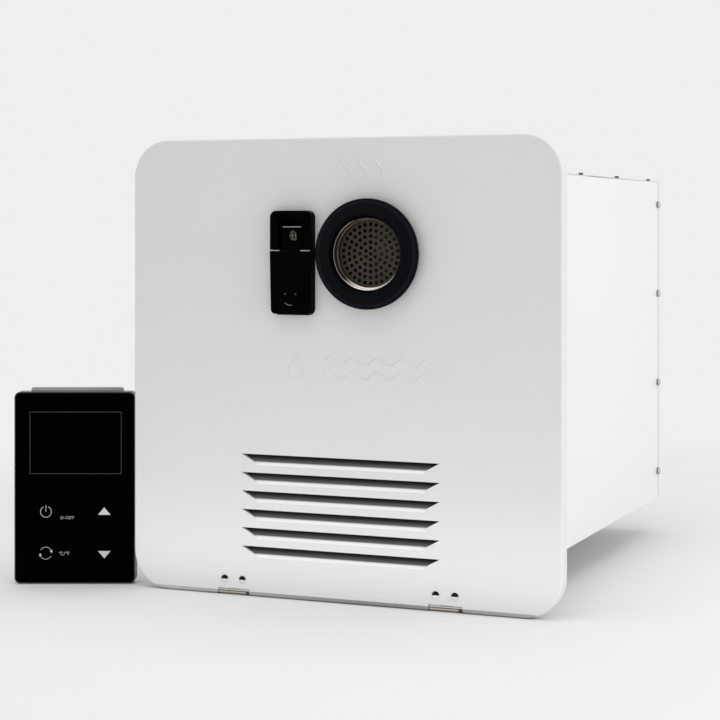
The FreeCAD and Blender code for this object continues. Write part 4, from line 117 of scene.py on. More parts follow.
def floor_finish(near, far):
    """Pale diffuse floor that turns into the plain backdrop colour between two distances."""
    mat = bpy.data.materials.new("floor_pale")
    mat.use_nodes = True
    tree = mat.node_tree
    tree.nodes.clear()
    out = tree.nodes.new("ShaderNodeOutputMaterial")
    diffuse = tree.nodes.new("ShaderNodeBsdfDiffuse")
    diffuse.inputs["Color"].default_value = (*PALE, 1)
    plain = tree.nodes.new("ShaderNodeEmission")
    plain.inputs["Color"].default_value = (*PALE, 1)
    place = tree.nodes.new("ShaderNodeTexCoord")
    reach = tree.nodes.new("ShaderNodeVectorMath")
    reach.operation = "LENGTH"
    fade = tree.nodes.new("ShaderNodeMapRange")
    fade.interpolation_type = "SMOOTHSTEP"
    fade.inputs["From Min"].default_value = near
    fade.inputs["From Max"].default_value = far
    both = tree.nodes.new("ShaderNodeMath")
    both.operation = "MULTIPLY"
    mix = tree.nodes.new("ShaderNodeMixShader")
    tree.links.new(place.outputs["Object"], reach.inputs[0])
    tree.links.new(reach.outputs["Value"], fade.inputs["Value"])
    tree.links.new(fade.outputs[0], both.inputs[0])
    tree.links.new(seen_rays(tree), both.inputs[1])
    tree.links.new(both.outputs[0], mix.inputs[0])
    tree.links.new(diffuse.outputs[0], mix.inputs[1])
    tree.links.new(plain.outputs[0], mix.inputs[2])
    tree.links.new(mix.outputs[0], out.inputs[0])
    return mat


def stage():
    """A wide pale floor under the part."""
    corners = [(-FLOOR_HALF, -FLOOR_HALF, 0), (FLOOR_HALF, -FLOOR_HALF, 0), (FLOOR_HALF, FLOOR_HALF, 0),
               (-FLOOR_HALF, FLOOR_HALF, 0)]
    mesh = bpy.data.meshes.new("floor")
    mesh.from_pydata(corners, [], [(0, 1, 2, 3)])
    floor = bpy.data.objects.new("floor", mesh)
    floor.location = (*FLOOR_MIDDLE, cad_box[0][2] - FLOOR_GAP)
    bpy.context.collection.objects.link(floor)
    mesh.materials.append(floor_finish(*FLOOR_FADE))


def area_lamp(name, place, target, size, power):
    """A soft rectangular lamp that points at a target."""
    data = bpy.data.lights.new(name, "AREA")
    data.shape = "RECTANGLE"
    data.size, data.size_y = size
    data.energy = power
    item = bpy.data.objects.new(name, data)
    item.location = place
    item.rotation_euler = (Vector(target) - Vector(place)).to_track_quat("-Z", "Y").to_euler()
    bpy.context.collection.objects.link(item)
    return item


def lights():
    """A pale world and soft lamps at a plain level; the camera doesn't see the card before the door."""
    bpy.context.scene.view_settings.view_transform = "Standard"
    world = bpy.data.worlds.new("pale")
    bpy.context.scene.world = world
    world.use_nodes = True
    tree = world.node_tree
    tree.nodes.clear()
    out = tree.nodes.new("ShaderNodeOutputWorld")
    mix = tree.nodes.new("ShaderNodeMixShader")
    seen = tree.nodes.new("ShaderNodeBackground")
    seen.inputs["Color"].default_value = (*PALE, 1)
    lit = tree.nodes.new("ShaderNodeBackground")
    lit.inputs["Color"].default_value = (*grey(1.0), 1)
    lit.inputs["Strength"].default_value = WORLD_LIGHT
    tree.links.new(seen_rays(tree), mix.inputs[0])
    tree.links.new(lit.outputs[0], mix.inputs[1])
    tree.links.new(seen.outputs[0], mix.inputs[2])
    tree.links.new(mix.outputs[0], out.inputs[0])
    lamps = {name: area_lamp(name, *values) for name, values in LAMPS.items()}
    lamps["card"].visible_camera = False


# ---------------------------------------------------------------- materials

class Finish:
    """A principled material with object coordinates, built step by step."""

    def __init__(self, name, colour, roughness, metallic=0.0, coat=0.0, specular=0.5):
        self.mat = bpy.data.materials.new(name)
        self.mat.use_nodes = True
        self.tree = self.mat.node_tree
        self.bsdf = self.tree.nodes["Principled BSDF"]
        self.colour = colour
        self.roughness = roughness
        self.bsdf.inputs["Base Color"].default_value = (*colour, 1)
        self.bsdf.inputs["Roughness"].default_value = roughness
        self.bsdf.inputs["Metallic"].default_value = metallic
        self.bsdf.inputs["Coat Weight"].default_value = coat
        self.bsdf.inputs["Coat Roughness"].default_value = 0.06
        self.bsdf.inputs["Specular IOR Level"].default_value = specular
        coordinates = self.tree.nodes.new("ShaderNodeTexCoord")
        self.place = coordinates.outputs["Object"]
        self.facing = coordinates.outputs["Normal"]
        self.tint = None
        self.height = None

    def node(self, kind, **inputs):
        """Add a shader node and set inputs by name, with an underscore for a space."""
        item = self.tree.nodes.new(kind)
        for name, value in inputs.items():
            item.inputs[name.replace("_", " ")].default_value = value
        return item

    def stretched(self, scale):
        """Object coordinates scaled by a different factor on each axis."""
        mapping = self.node("ShaderNodeMapping")
        mapping.inputs["Scale"].default_value = scale
        self.tree.links.new(self.place, mapping.inputs["Vector"])
        return mapping.outputs["Vector"]

    def noise(self, scale, detail=3.0, coordinates=None):
        """Soft noise over the object coordinates or over others."""
        item = self.node("ShaderNodeTexNoise", Scale=scale, Detail=detail)
        self.tree.links.new(coordinates or self.place, item.inputs["Vector"])
        return item.outputs["Fac"]

    def cells(self, scale):
        """A random value for each cell of a cellular pattern."""
        item = self.node("ShaderNodeTexVoronoi", Scale=scale)
        self.tree.links.new(self.place, item.inputs["Vector"])
        split = self.node("ShaderNodeSeparateColor")
        self.tree.links.new(item.outputs["Color"], split.inputs[0])
        return split.outputs[0]

    def along(self, axis, vector=None):
        """One component, 0 to 2, of the object coordinates or of another vector."""
        split = self.node("ShaderNodeSeparateXYZ")
        self.tree.links.new(vector or self.place, split.inputs[0])
        return split.outputs[axis]

    def radius(self, centre, scale=(1, 0, 1)):
        """Distance from a centre along the axes that the scale keeps: X and Z, as in a circle, by default."""
        mapping = self.node("ShaderNodeMapping")
        mapping.vector_type = "POINT"
        mapping.inputs["Location"].default_value = [-c * s for c, s in zip(centre, scale)]
        mapping.inputs["Scale"].default_value = scale
        length = self.node("ShaderNodeVectorMath")
        length.operation = "LENGTH"
        self.tree.links.new(self.place, mapping.inputs["Vector"])
        self.tree.links.new(mapping.outputs["Vector"], length.inputs[0])
        return length.outputs["Value"]

    def aside(self, middle):
        """Distance to the left or right of a place."""
        return self.radius((middle, 0, 0), (1, 0, 0))

    def ramp(self, value, low, high, to_low=0.0, to_high=1.0):
        """A clamped linear step of a value: `to_low` at `low` and `to_high` at `high`, in either order."""
        item = self.node("ShaderNodeMapRange")
        for name, number in (("From Min", low), ("From Max", high), ("To Min", to_low), ("To Max", to_high)):
            item.inputs[name].default_value = number
        self.tree.links.new(value, item.inputs["Value"])
        return item.outputs[0]

    def times(self, *values):
        """The product of masks."""
        total = values[0]
        for value in values[1:]:
            item = self.node("ShaderNodeMath")
            item.operation = "MULTIPLY"
            self.tree.links.new(total, item.inputs[0])
            self.tree.links.new(value, item.inputs[1])
            total = item.outputs[0]
        return total

    def between(self, value, low, high, soft=0.0003):
        """1 where a value lies between two limits, with soft edges outside them."""
        return self.times(self.ramp(value, low - soft, low), self.ramp(value, high, high + soft, 1.0, 0.0))

    def colours(self, value, stops):
        """A colour ramp over a value from 0 to 1."""
        item = self.node("ShaderNodeValToRGB")
        elements = item.color_ramp.elements
        while len(elements) < len(stops):
            elements.new(0.5)
        for element, (position, colour) in zip(elements, stops):
            element.position = position
            element.color = (*colour, 1)
        self.tree.links.new(value, item.inputs[0])
        return item.outputs[0]

    def paint(self, colour, mask=None):
        """Lay a colour, a tuple or a socket, over the base colour where a mask is 1."""
        if mask is None:
            self.tint = colour
        else:
            mix = self.node("ShaderNodeMix")
            mix.data_type = "RGBA"
            a, b = mix.inputs[6], mix.inputs[7]
            self.tree.links.new(mask, mix.inputs[0])
            if self.tint is None:
                a.default_value = (*self.colour, 1)
            else:
                self.tree.links.new(self.tint, a)
            if isinstance(colour, tuple):
                b.default_value = (*colour, 1)
            else:
                self.tree.links.new(colour, b)
            self.tint = mix.outputs[2]
        self.tree.links.new(self.tint, self.bsdf.inputs["Base Color"])
        return self

    def vary_colour(self, factor, spread, low=0.35, high=0.65):
        """Base colour between a darker and a lighter tone."""
        dark = tuple(c * (1 - spread) for c in self.colour)
        light = tuple(min(c * (1 + spread), 1) for c in self.colour)
        return self.paint(self.colours(factor, [(low, dark), (high, light)]))

    def vary_roughness(self, factor, spread):
        """Roughness that wanders round its mean."""
        least, most = max(self.roughness - spread, 0.02), min(self.roughness + spread, 1)
        rough = self.ramp(factor, 0.3, 0.7, least, most)
        self.tree.links.new(rough, self.bsdf.inputs["Roughness"])
        return self

    def bump(self, factor, strength, distance):
        """A bump, added on any bump before it."""
        item = self.node("ShaderNodeBump", Strength=strength, Distance=distance)
        self.tree.links.new(factor, item.inputs["Height"])
        if self.height:
            self.tree.links.new(self.height, item.inputs["Normal"])
        self.height = item.outputs[0]
        self.tree.links.new(self.height, self.bsdf.inputs["Normal"])
        return self


def powder_coat(name, colour, roughness, peel=0.06):
    """Baked paint: soft gloss, faint orange peel and slight unevenness."""
    finish = Finish(name, colour, roughness, coat=0.1, specular=0.35)
    finish.vary_colour(finish.noise(4.0, 2.0), 0.008)
    finish.vary_roughness(finish.noise(9.0), 0.04)
    finish.bump(finish.noise(520.0, 2.0), peel, 0.0003)
    return finish


# In the paints below, a name ending in EDGE holds a mask's soft edge: 0 at the first number, 1 at the
# second. Depths, levels and places across are those of the part at rest.

LOUVRES_ACROSS = (-0.096, 0.096)
LOUVRES_UP = (-0.168, -0.0745)
SLOPE_BACK_EDGE = (DOOR_FACE + 0.0002, DOOR_FACE + 0.0005)
SLOPE_FACING_EDGE = (-0.02, -0.06)
SLOPE_DEPTH = (DOOR_FACE + 0.0003, DOOR_FACE + 0.0058)
SLOPE_SHADES = [(0.0, grey(0.9)), (0.12, grey(0.9)), (0.24, (0.1, 0.108, 0.116)),
                (0.6, (0.034, 0.038, 0.042)), (0.86, (0.006, 0.007, 0.008)), (1.0, grey(0.001))]
FOOT_EDGE = (-0.09, -0.192)
FOOT_FRONT_EDGE = (-0.0112, -0.0118)
FOOT_LIGHT = 1.16  # times the door's colour
BENDS = [-0.0839 - 0.01535 * i for i in range(6)]  # levels of the louvres' bends
BENDS_ACROSS = (-0.0725, 0.0735)
BENDS_FRONT_EDGE = (-0.0104, -0.0108)
BEND_BELOW, BEND_ABOVE = 0.0004, 0.0009
FOLD_HALF = 0.168  # half the length of the grey strip
FOLD_UP_EDGE = (DOOR_LOW + 0.0035, DOOR_LOW + 0.0032)
FOLD_FRONT_EDGE = (-0.002, -0.003)
FOLD_SPAN = (-0.17, 0.17)
FOLD_SHADES = [(0.0, grey(0.6)), (0.25, grey(0.45)), (0.6, grey(0.3)), (1.0, grey(0.48))]
NOTCH_TOP = -0.18865  # level of the hinge notches' tops
NOTCH_HALF = 0.0149  # half the width of a notch's dark part
NOTCH_UP_EDGE = (NOTCH_TOP - 0.0016, NOTCH_TOP - 0.0019)
NOTCH_BACK_EDGE = (DOOR_FACE + 0.00005, DOOR_FACE + 0.0003)


def door_paint(name, colour, roughness):
    """The door's powder coat, with light and shade painted on as the photograph shows them.

    The louvres have dark slopes and bright bends, the paint lightens towards the foot, a grey strip
    follows the bottom fold, and the hinge notches are black.
    """
    finish = powder_coat(name, colour, roughness)
    across, back, up = (finish.along(axis) for axis in range(3))
    slopes = finish.times(finish.between(across, *LOUVRES_ACROSS),
                          finish.between(up, *LOUVRES_UP),
                          finish.ramp(back, *SLOPE_BACK_EDGE),
                          finish.ramp(finish.along(1, finish.facing), *SLOPE_FACING_EDGE))
    finish.paint(finish.colours(finish.ramp(back, *SLOPE_DEPTH), SLOPE_SHADES), slopes)
    foot = finish.times(finish.ramp(up, *FOOT_EDGE), finish.ramp(back, *FOOT_FRONT_EDGE))
    finish.paint(tuple(c * FOOT_LIGHT for c in colour), foot)
    front = finish.times(finish.between(across, *BENDS_ACROSS, soft=0.003),
                         finish.ramp(back, *BENDS_FRONT_EDGE))
    for bend in BENDS:
        line = finish.between(up, bend - BEND_BELOW, bend + BEND_ABOVE, soft=0.0006)
        finish.paint((0.98, 0.98, 0.975), finish.times(front, line))
    fold = finish.times(finish.ramp(up, *FOLD_UP_EDGE), finish.between(across, -FOLD_HALF, FOLD_HALF),
                        finish.ramp(back, *FOLD_FRONT_EDGE))
    finish.paint(finish.colours(finish.ramp(across, *FOLD_SPAN), FOLD_SHADES), fold)
    for middle in HINGES:
        notch = finish.times(finish.between(across, middle - NOTCH_HALF, middle + NOTCH_HALF),
                             finish.ramp(up, *NOTCH_UP_EDGE),
                             finish.ramp(back, *NOTCH_BACK_EDGE))
        finish.paint(grey(0.02), notch)
    return finish


SIDE_FACING_EDGE = (0.5, 0.6)
SEAM_SPAN = (0.0, 0.43)  # from the wall to just before the rear panel's face
SEAM_UP_EDGE = (0.1576, 0.1577)
SEAM_SHADES = [(0.0, grey(0.55)), (0.38, grey(0.55)), (0.44, grey(0.22)), (0.54, grey(0.3)),
               (0.66, (0.5, 0.54, 0.57)), (1.0, (0.56, 0.6, 0.62))]
REAR_BACK_EDGE = (0.4275, 0.4285)


def cased_metal(name, colour, roughness):
    """The casing's paint, with painted shade as a grey line along the top cover's seam and a painted bluish
    reflection on the rear edge.
    """
    finish = powder_coat(name, colour, roughness, 0.03)
    side = finish.ramp(finish.along(0, finish.facing), *SIDE_FACING_EDGE)
    back = finish.along(1)
    # Painted shade along the top cover's seam, then a painted bluish reflection on the rear edge.
    seam = finish.colours(finish.ramp(back, *SEAM_SPAN), SEAM_SHADES)
    finish.paint(seam, finish.times(side, finish.ramp(finish.along(2), *SEAM_UP_EDGE)))
    return finish.paint((0.56, 0.63, 0.67), finish.times(side, finish.ramp(back, *REAR_BACK_EDGE)))


TOP_HEADS_ASIDE = (0.1515, 0.1545)
TOP_HEADS_UP = (0.1594, 0.161)
REAR_HEADS_BACK_EDGE = (0.42, 0.421)
REAR_HEADS_INNER_EDGE = (0.1605, 0.1602)


def pan_heads(name, colour, roughness):
    """Zinc pan heads with dark reflections painted on: on the outer sides on top, inwards at the rear."""
    finish = rolled_metal(name, colour, roughness, metallic=0.2)
    aside = finish.aside(0)
    dark = finish.times(finish.between(aside, *TOP_HEADS_ASIDE),
                        finish.between(finish.along(2), *TOP_HEADS_UP, soft=0.0004))
    finish.paint(grey(0.04), dark)
    rear = finish.ramp(finish.along(1), *REAR_HEADS_BACK_EDGE)
    finish.paint((0.56, 0.5, 0.46), rear)
    return finish.paint((0.2, 0.22, 0.2), finish.times(rear, finish.ramp(aside, *REAR_HEADS_INNER_EDGE)))


LEAF_FRONT_EDGE = (-0.006, -0.007)
LEAF_PAINT_EDGE = (-0.1906, -0.1904)
LEAF_LINE = (-0.1911, -0.1906)
BARREL_END = (0.0114, 0.0141)  # to the right of the hinge's middle
BARREL_UP_EDGE = (-0.1908, -0.1912)


def hinge_steel(name, colour, roughness):
    """Zinc-plated barrel with painted shade on its right end and a painted shade line above it, and door
    paint on the leaf.
    """
    finish = rolled_metal(name, colour, roughness, (900, 30, 900), metallic=0.15)
    across, up = finish.along(0), finish.along(2)
    front = finish.ramp(finish.along(1), *LEAF_FRONT_EDGE)
    finish.paint((0.7, 0.7, 0.695), finish.times(front, finish.ramp(up, *LEAF_PAINT_EDGE)))
    # Painted shade on each barrel's right end, and a painted shade line above the barrels.
    for middle in HINGES:
        end = finish.between(across, *(middle + place for place in BARREL_END))
        finish.paint(grey(0.02), finish.times(front, end, finish.ramp(up, *BARREL_UP_EDGE)))
    return finish.paint(grey(0.03), finish.times(front, finish.between(up, *LEAF_LINE, soft=0.0002)))


RIVET_UP_EDGE = (-0.1813, -0.1805)  # across the rivets' middles


def riveted_steel(name, colour, roughness):
    """Domed heads with a dark reflection painted on their upper halves."""
    finish = rolled_metal(name, colour, roughness, metallic=0.4)
    finish.bsdf.inputs["Specular IOR Level"].default_value = 0.1
    return finish.paint(grey(0.006), finish.ramp(finish.along(2), *RIVET_UP_EDGE))


def galvanised(name, colour, roughness=0.38):
    """Zinc-coated sheet with its spangle."""
    finish = Finish(name, colour, roughness, metallic=0.9)
    finish.vary_colour(finish.cells(55.0), 0.07, 0.1, 0.9)
    finish.vary_roughness(finish.cells(55.0), 0.07)
    finish.bump(finish.noise(300.0), 0.05, 0.0002)
    return finish


def rolled_metal(name, colour, roughness, grain=(30, 900, 900), metallic=1.0, spread=0.06):
    """Drawn or rolled metal with a grain along one axis."""
    finish = Finish(name, colour, roughness, metallic=metallic)
    lines = finish.noise(1.0, 4.0, finish.stretched(grain))
    finish.vary_colour(finish.noise(25.0), spread)
    finish.vary_roughness(lines, 0.07)
    finish.bump(lines, 0.08, 0.0001)
    return finish


BORE_EDGE = (0.02935, 0.0292)  # distances from the pipe's middle
MOUTH_BACK = (-0.02, 0.03)
MOUTH_FOOT_EDGE = (EXHAUST[2] - 0.02, EXHAUST[2] - 0.027)
RIM_FRONT_EDGE = (-0.0162, -0.0166)
RIM_AWAY = (0.76, 0, 0.65)  # from the pipe's middle towards the rim's dark side
RIM_DARK_EDGE = (0.002, 0.01)  # distances that way


def heated_stainless(name, colour, roughness):
    """Bright stainless pipe: mouth browned by heat, a painted highlight at its foot, and painted shade on one
    side of the rim.
    """
    finish = rolled_metal(name, colour, roughness, (900, 40, 900))
    back = finish.along(1)
    mouth = finish.times(finish.ramp(finish.radius(EXHAUST), *BORE_EDGE), finish.between(back, *MOUTH_BACK))
    heat = finish.colours(finish.noise(60.0, 2.0), [(0.35, (0.075, 0.06, 0.05)), (0.65, (0.13, 0.105, 0.09))])
    finish.paint(heat, mouth)
    # Painted highlight on the lower part of the mouth.
    finish.paint((0.85, 0.76, 0.7), finish.times(mouth, finish.ramp(finish.along(2), *MOUTH_FOOT_EDGE)))
    # Painted shade on the rim's upper right side.
    away = finish.node("ShaderNodeVectorMath")
    away.operation = "DOT_PRODUCT"
    away.inputs[1].default_value = RIM_AWAY
    finish.tree.links.new(finish.place, away.inputs[0])
    middle = RIM_AWAY[0] * EXHAUST[0] + RIM_AWAY[2] * EXHAUST[2]
    dark = finish.ramp(away.outputs["Value"], *(middle + distance for distance in RIM_DARK_EDGE))
    return finish.paint((0.03, 0.028, 0.026), finish.times(dark, finish.ramp(back, *RIM_FRONT_EDGE)))


COLLAR_EDGE = (0.0266, 0.0269)  # distances from the pipe's middle
COLLAR_FRONT_EDGE = (-0.0112, -0.0118)
COLLAR_FACING_EDGE = (-0.4, -0.6)


def sooted_grille(name, colour, roughness):
    """The grille's dark steel, with a browned collar whose coppery lip is painted bright on its front faces
    as a highlight.
    """
    finish = tinted_steel(name, colour, roughness)
    collar = finish.times(finish.ramp(finish.radius(EXHAUST), *COLLAR_EDGE),
                          finish.ramp(finish.along(1), *COLLAR_FRONT_EDGE))
    finish.paint((0.1, 0.06, 0.05), collar)
    # The lip: copper colour brightened into a painted highlight on the collar's front faces.
    lip = finish.times(collar, finish.ramp(finish.along(1, finish.facing), *COLLAR_FACING_EDGE))
    return finish.paint((0.95, 0.72, 0.6), lip)


def ribbed_zinc(name, colour, roughness):
    """Dull die-cast zinc with fine ridges across."""
    finish = cast_metal(name, colour, roughness, 0.5)
    ridges = finish.noise(1.0, 2.0, finish.stretched((60, 60, 1500)))
    dark, light = (tuple(c * factor for c in colour) for factor in (0.55, 1.5))
    finish.paint(finish.colours(ridges, [(0.38, dark), (0.62, light)]))
    return finish.bump(ridges, 0.3, 0.0003)


SEAL_PALE_RING = (0.0412, 0.0432)  # distances from the exhaust's middle


def seal_rubber(name, colour, roughness):
    """The exhaust seal's rubber, with a faint paler, bluer ring near its outer edge."""
    finish = moulded(name, colour, roughness, 0.15, 900.0, specular=0.05)
    pale_ring = finish.between(finish.radius(EXHAUST), *SEAL_PALE_RING, soft=0.0006)
    return finish.paint((0.006, 0.008, 0.012), pale_ring)


CAP = (LATCH_X, 0.0, 0.0558)
SPANNER_HOLES = ((LATCH_X - 0.0048, 0.0, 0.0584), (LATCH_X + 0.0048, 0.0, 0.0584))
HOLE_EDGE = (0.0009, 0.0006)  # distances from a hole's middle
ARC_OUTER_EDGE = (0.006, 0.0063)  # distances from the cap's middle
ARC_UP_EDGE = (0.0518, 0.051)
ARC_RIGHT_EDGE = (LATCH_X + 0.002, LATCH_X + 0.0008)


def spanner_cap(name, colour, roughness):
    """The round cap's black, with painted highlights: pale spots in the spanner holes and a grey arc along
    its lower left edge.
    """
    finish = moulded(name, colour, roughness, 0.02, 900.0, specular=0.012)
    # Painted highlights in the spanner holes and along the cap's lower left edge.
    for hole in SPANNER_HOLES:
        finish.paint((0.22, 0.22, 0.21), finish.ramp(finish.radius(hole), *HOLE_EDGE))
    edge = finish.times(finish.ramp(finish.radius(CAP), *ARC_OUTER_EDGE),
                        finish.ramp(finish.along(2), *ARC_UP_EDGE),
                        finish.ramp(finish.along(0), *ARC_RIGHT_EDGE))
    return finish.paint(grey(0.2), edge)


def cast_metal(name, colour, roughness, metallic=0.8):
    """Die-cast metal with a sandy skin."""
    finish = Finish(name, colour, roughness, metallic=metallic)
    finish.vary_colour(finish.noise(60.0), 0.06)
    finish.bump(finish.noise(900.0, 2.0), 0.25, 0.0002)
    return finish


def moulded(name, colour, roughness, texture=0.1, scale=1400.0, specular=0.5):
    """Moulded plastic, from glossy to a fine spark-eroded texture."""
    finish = Finish(name, colour, roughness, specular=specular)
    finish.vary_colour(finish.noise(30.0), 0.05)
    finish.vary_roughness(finish.noise(45.0), 0.04)
    finish.bump(finish.noise(scale, 1.0), texture, 0.0002)
    return finish


PADDLE_TOP = 0.0946  # level of the paddle's upper edge
SHOULDER_UP = (PADDLE_TOP - 0.0007, PADDLE_TOP + 0.0002)
SHOULDER_FACING_EDGE = (0.25, 0.45)
SHOULDER_ASIDE_EDGE = (0.0093, 0.0095)  # distances from the latch's middle
TONGUE_TOP = 0.1140  # level of its tongue's upper edge
TONGUE_UP = (TONGUE_TOP - 0.0006, TONGUE_TOP + 0.0002)
TONGUE_HALF = 0.0082  # half the length of the tongue's pale line
TONGUE_FRONT_EDGE = (-0.0165, -0.0168)


def latch_plastic(name, colour, roughness):
    """The latch's glossy black, with painted highlights as pale lines on the top edges of the paddle and its
    tongue.
    """
    finish = moulded(name, colour, roughness, 0.02, 900.0, specular=0.012)
    up = finish.along(2)
    shoulder = finish.times(finish.between(up, *SHOULDER_UP, soft=0.0001),
                            finish.ramp(finish.along(2, finish.facing), *SHOULDER_FACING_EDGE),
                            finish.ramp(finish.aside(LATCH_X), *SHOULDER_ASIDE_EDGE))
    tongue = finish.times(finish.between(up, *TONGUE_UP, soft=0.0001),
                          finish.between(finish.along(0), LATCH_X - TONGUE_HALF, LATCH_X + TONGUE_HALF),
                          finish.ramp(finish.along(1), *TONGUE_FRONT_EDGE))
    # Painted highlights along those top edges.
    for mask in (shoulder, tongue):
        finish.paint(grey(0.42), mask)
    return finish


def tinted_steel(name, colour, roughness):
    """Steel with heat tint in soft patches."""
    finish = Finish(name, colour, roughness, metallic=0.35, specular=0.3)
    finish.vary_colour(finish.noise(70.0), 0.14)
    finish.vary_roughness(finish.noise(120.0), 0.08)
    finish.bump(finish.noise(700.0), 0.1, 0.0002)
    return finish


BOARD_GREEN = (0.03, 0.16, 0.07)
BOARD_DARK = (0.025, 0.13, 0.06)
BOARD_TRACE = (0.09, 0.3, 0.14)


def circuit_board(name):
    """Solder mask with a fine grid of traces."""
    finish = Finish(name, BOARD_GREEN, 0.35, coat=0.3)
    brick = finish.node("ShaderNodeTexBrick", Scale=160.0, Mortar_Size=0.03)
    for socket, colour in (("Color1", BOARD_GREEN), ("Color2", BOARD_DARK), ("Mortar", BOARD_TRACE)):
        brick.inputs[socket].default_value = (*colour, 1)
    finish.tree.links.new(finish.place, brick.inputs["Vector"])
    return finish.paint(brick.outputs["Color"])


def finishes():
    """One material for each of the record's slots."""
    made = {
        "white_paint": door_paint("white_paint", (0.76, 0.76, 0.755), 0.36),
        "casing_metal": cased_metal("casing_metal", (0.85, 0.85, 0.855), 0.32),
        "flange_metal": galvanised("flange_metal", (0.66, 0.67, 0.68)),
        "steel": rolled_metal("steel", (0.72, 0.72, 0.73), 0.24),
        "stainless": heated_stainless("stainless", (0.78, 0.78, 0.77), 0.16),
        "grille_metal": sooted_grille("grille_metal", (0.045, 0.04, 0.027), 0.5),
        "black_rubber": moulded("black_rubber", (0.0013, 0.0016, 0.0025), 0.5, 0.15, 900.0, specular=0.05),
        "black_plastic": latch_plastic("black_plastic", (0.001, 0.001, 0.001), 0.16),
        "zinc_lock": ribbed_zinc("zinc_lock", (0.15, 0.16, 0.13), 0.4),
        "copper": rolled_metal("copper", (0.72, 0.36, 0.22), 0.3, spread=0.12),
        "brass": rolled_metal("brass", (0.76, 0.55, 0.24), 0.26),
        "cast_aluminium": cast_metal("cast_aluminium", (0.55, 0.56, 0.57), 0.48),
        "motor_black": moulded("motor_black", (0.03, 0.03, 0.032), 0.4),
        "sensor_plastic": moulded("sensor_plastic", (0.05, 0.05, 0.055), 0.5, 0.3),
        "box_plastic": moulded("box_plastic", (0.045, 0.046, 0.05), 0.5, 0.3),
        "board_green": circuit_board("board_green"),
        "ceramic": moulded("ceramic", (0.8, 0.78, 0.72), 0.25, 0.05),
        "igniter_plastic": moulded("igniter_plastic", (0.62, 0.59, 0.5), 0.45, 0.2),
        "switch_red": moulded("switch_red", (0.42, 0.012, 0.01), 0.22, 0.02),
        "controller_black": moulded("controller_black", (0.012, 0.012, 0.013), 0.35, 0.05),
        "controller_front": moulded("controller_front", (0.0003, 0.0003, 0.0003), 0.08, 0.0, specular=0.006),
        "screen_grey": moulded("screen_grey", (0.03, 0.03, 0.034), 0.2, 0.02),
        "plate_grey": moulded("plate_grey", (0.5, 0.5, 0.5), 0.5, 0.25),
    }
    return {name: finish.mat for name, finish in made.items()}


def dress(mats):
    """Give every node the material of its slot, and a few a finish of their own."""
    own = {
        "hinge_rivets": riveted_steel("rivet_steel", (0.85, 0.82, 0.78), 0.3).mat,
        "case_screws": pan_heads("screw_zinc", (0.82, 0.82, 0.81), 0.35).mat,
        "hinge_door_leaves": hinge_steel("hinge_steel", (0.62, 0.55, 0.47), 0.35).mat,
        "exhaust_seal_ring": seal_rubber("seal_rubber", (0.0013, 0.0016, 0.0025), 0.5).mat,
        "paddle_cap": spanner_cap("cap_plastic", (0.001, 0.001, 0.001), 0.16).mat,
    }
    own["hinge_frame_leaves"] = own["hinge_door_leaves"]
    for name, item in nodes.items():
        mat = own.get(name) or mats[SLOTS[name]]
        if not item.data.materials:
            item.data.materials.append(mat)
        for i in range(len(item.data.materials)):
            item.data.materials[i] = mat


# ---------------------------------------------------------------- drawn lines and signs

def arc(centre, radius, start, end, steps=24):
    """Points of a circular arc, angles in degrees anticlockwise from the right."""
    turns = [math.radians(start + (end - start) * i / steps) for i in range(steps + 1)]
    return [(centre[0] + radius * math.cos(turn), centre[1] + radius * math.sin(turn)) for turn in turns]


def wave(start, end, level, height, crests, steps=12):
    """Points of a sine wave along the first axis."""
    count = int(crests * steps)
    return [(start + (end - start) * i / count, level + height * math.sin(2 * math.pi * crests * i / count))
            for i in range(count + 1)]


def lines(name, paths, width, depth, place, body, slot, mat, closed=False):
    """Rounded lines of a given width that stand a depth proud of the face that `place` carries."""
    data = bpy.data.curves.new(name, "CURVE")
    data.dimensions = "3D"
    data.bevel_depth = width / 2
    data.bevel_resolution = 2
    data.use_fill_caps = True
    for path in paths:
        spline = data.splines.new("POLY")
        spline.points.add(len(path) - 1)
        for point, (u, v) in zip(spline.points, path):
            point.co = (u, v, 0, 1)
        spline.use_cyclic_u = closed
    curve = bpy.data.objects.new(name + "_curve", data)
    mesh = bpy.data.meshes.new_from_object(curve)
    bpy.data.objects.remove(curve)
    laid(name, mesh, Matrix.Diagonal((1, 1, depth / (width / 2), 1)), place, body, mat)


def laid(name, mesh, shaping, place, body, mat):
    """Put a mesh drawn flat, its height along Z, on a face of a body."""
    mesh.transform(place @ shaping)
    mesh.materials.clear()
    mesh.materials.append(mat)
    mesh.name = name
    item = bpy.data.objects.new(name, mesh)
    bpy.context.collection.objects.link(item)
    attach(item, body)


def fill(name, outlines, depth, place, body, mat):
    """Flat shapes from closed outlines that stand a depth proud of the face that `place` carries."""
    points = []
    faces = []
    for outline in outlines:
        first = len(points)
        count = len(outline)
        points += [(u, v, -depth) for u, v in outline] + [(u, v, depth) for u, v in outline]
        faces.append([first + i for i in reversed(range(count))])
        faces.append([first + count + i for i in range(count)])
        faces += [[first + i, first + (i + 1) % count, first + count + (i + 1) % count, first + count + i]
                  for i in range(count)]
    mesh = bpy.data.meshes.new(name)
    mesh.from_pydata(points, [], faces)
    laid(name, mesh, Matrix.Identity(4), place, body, mat)


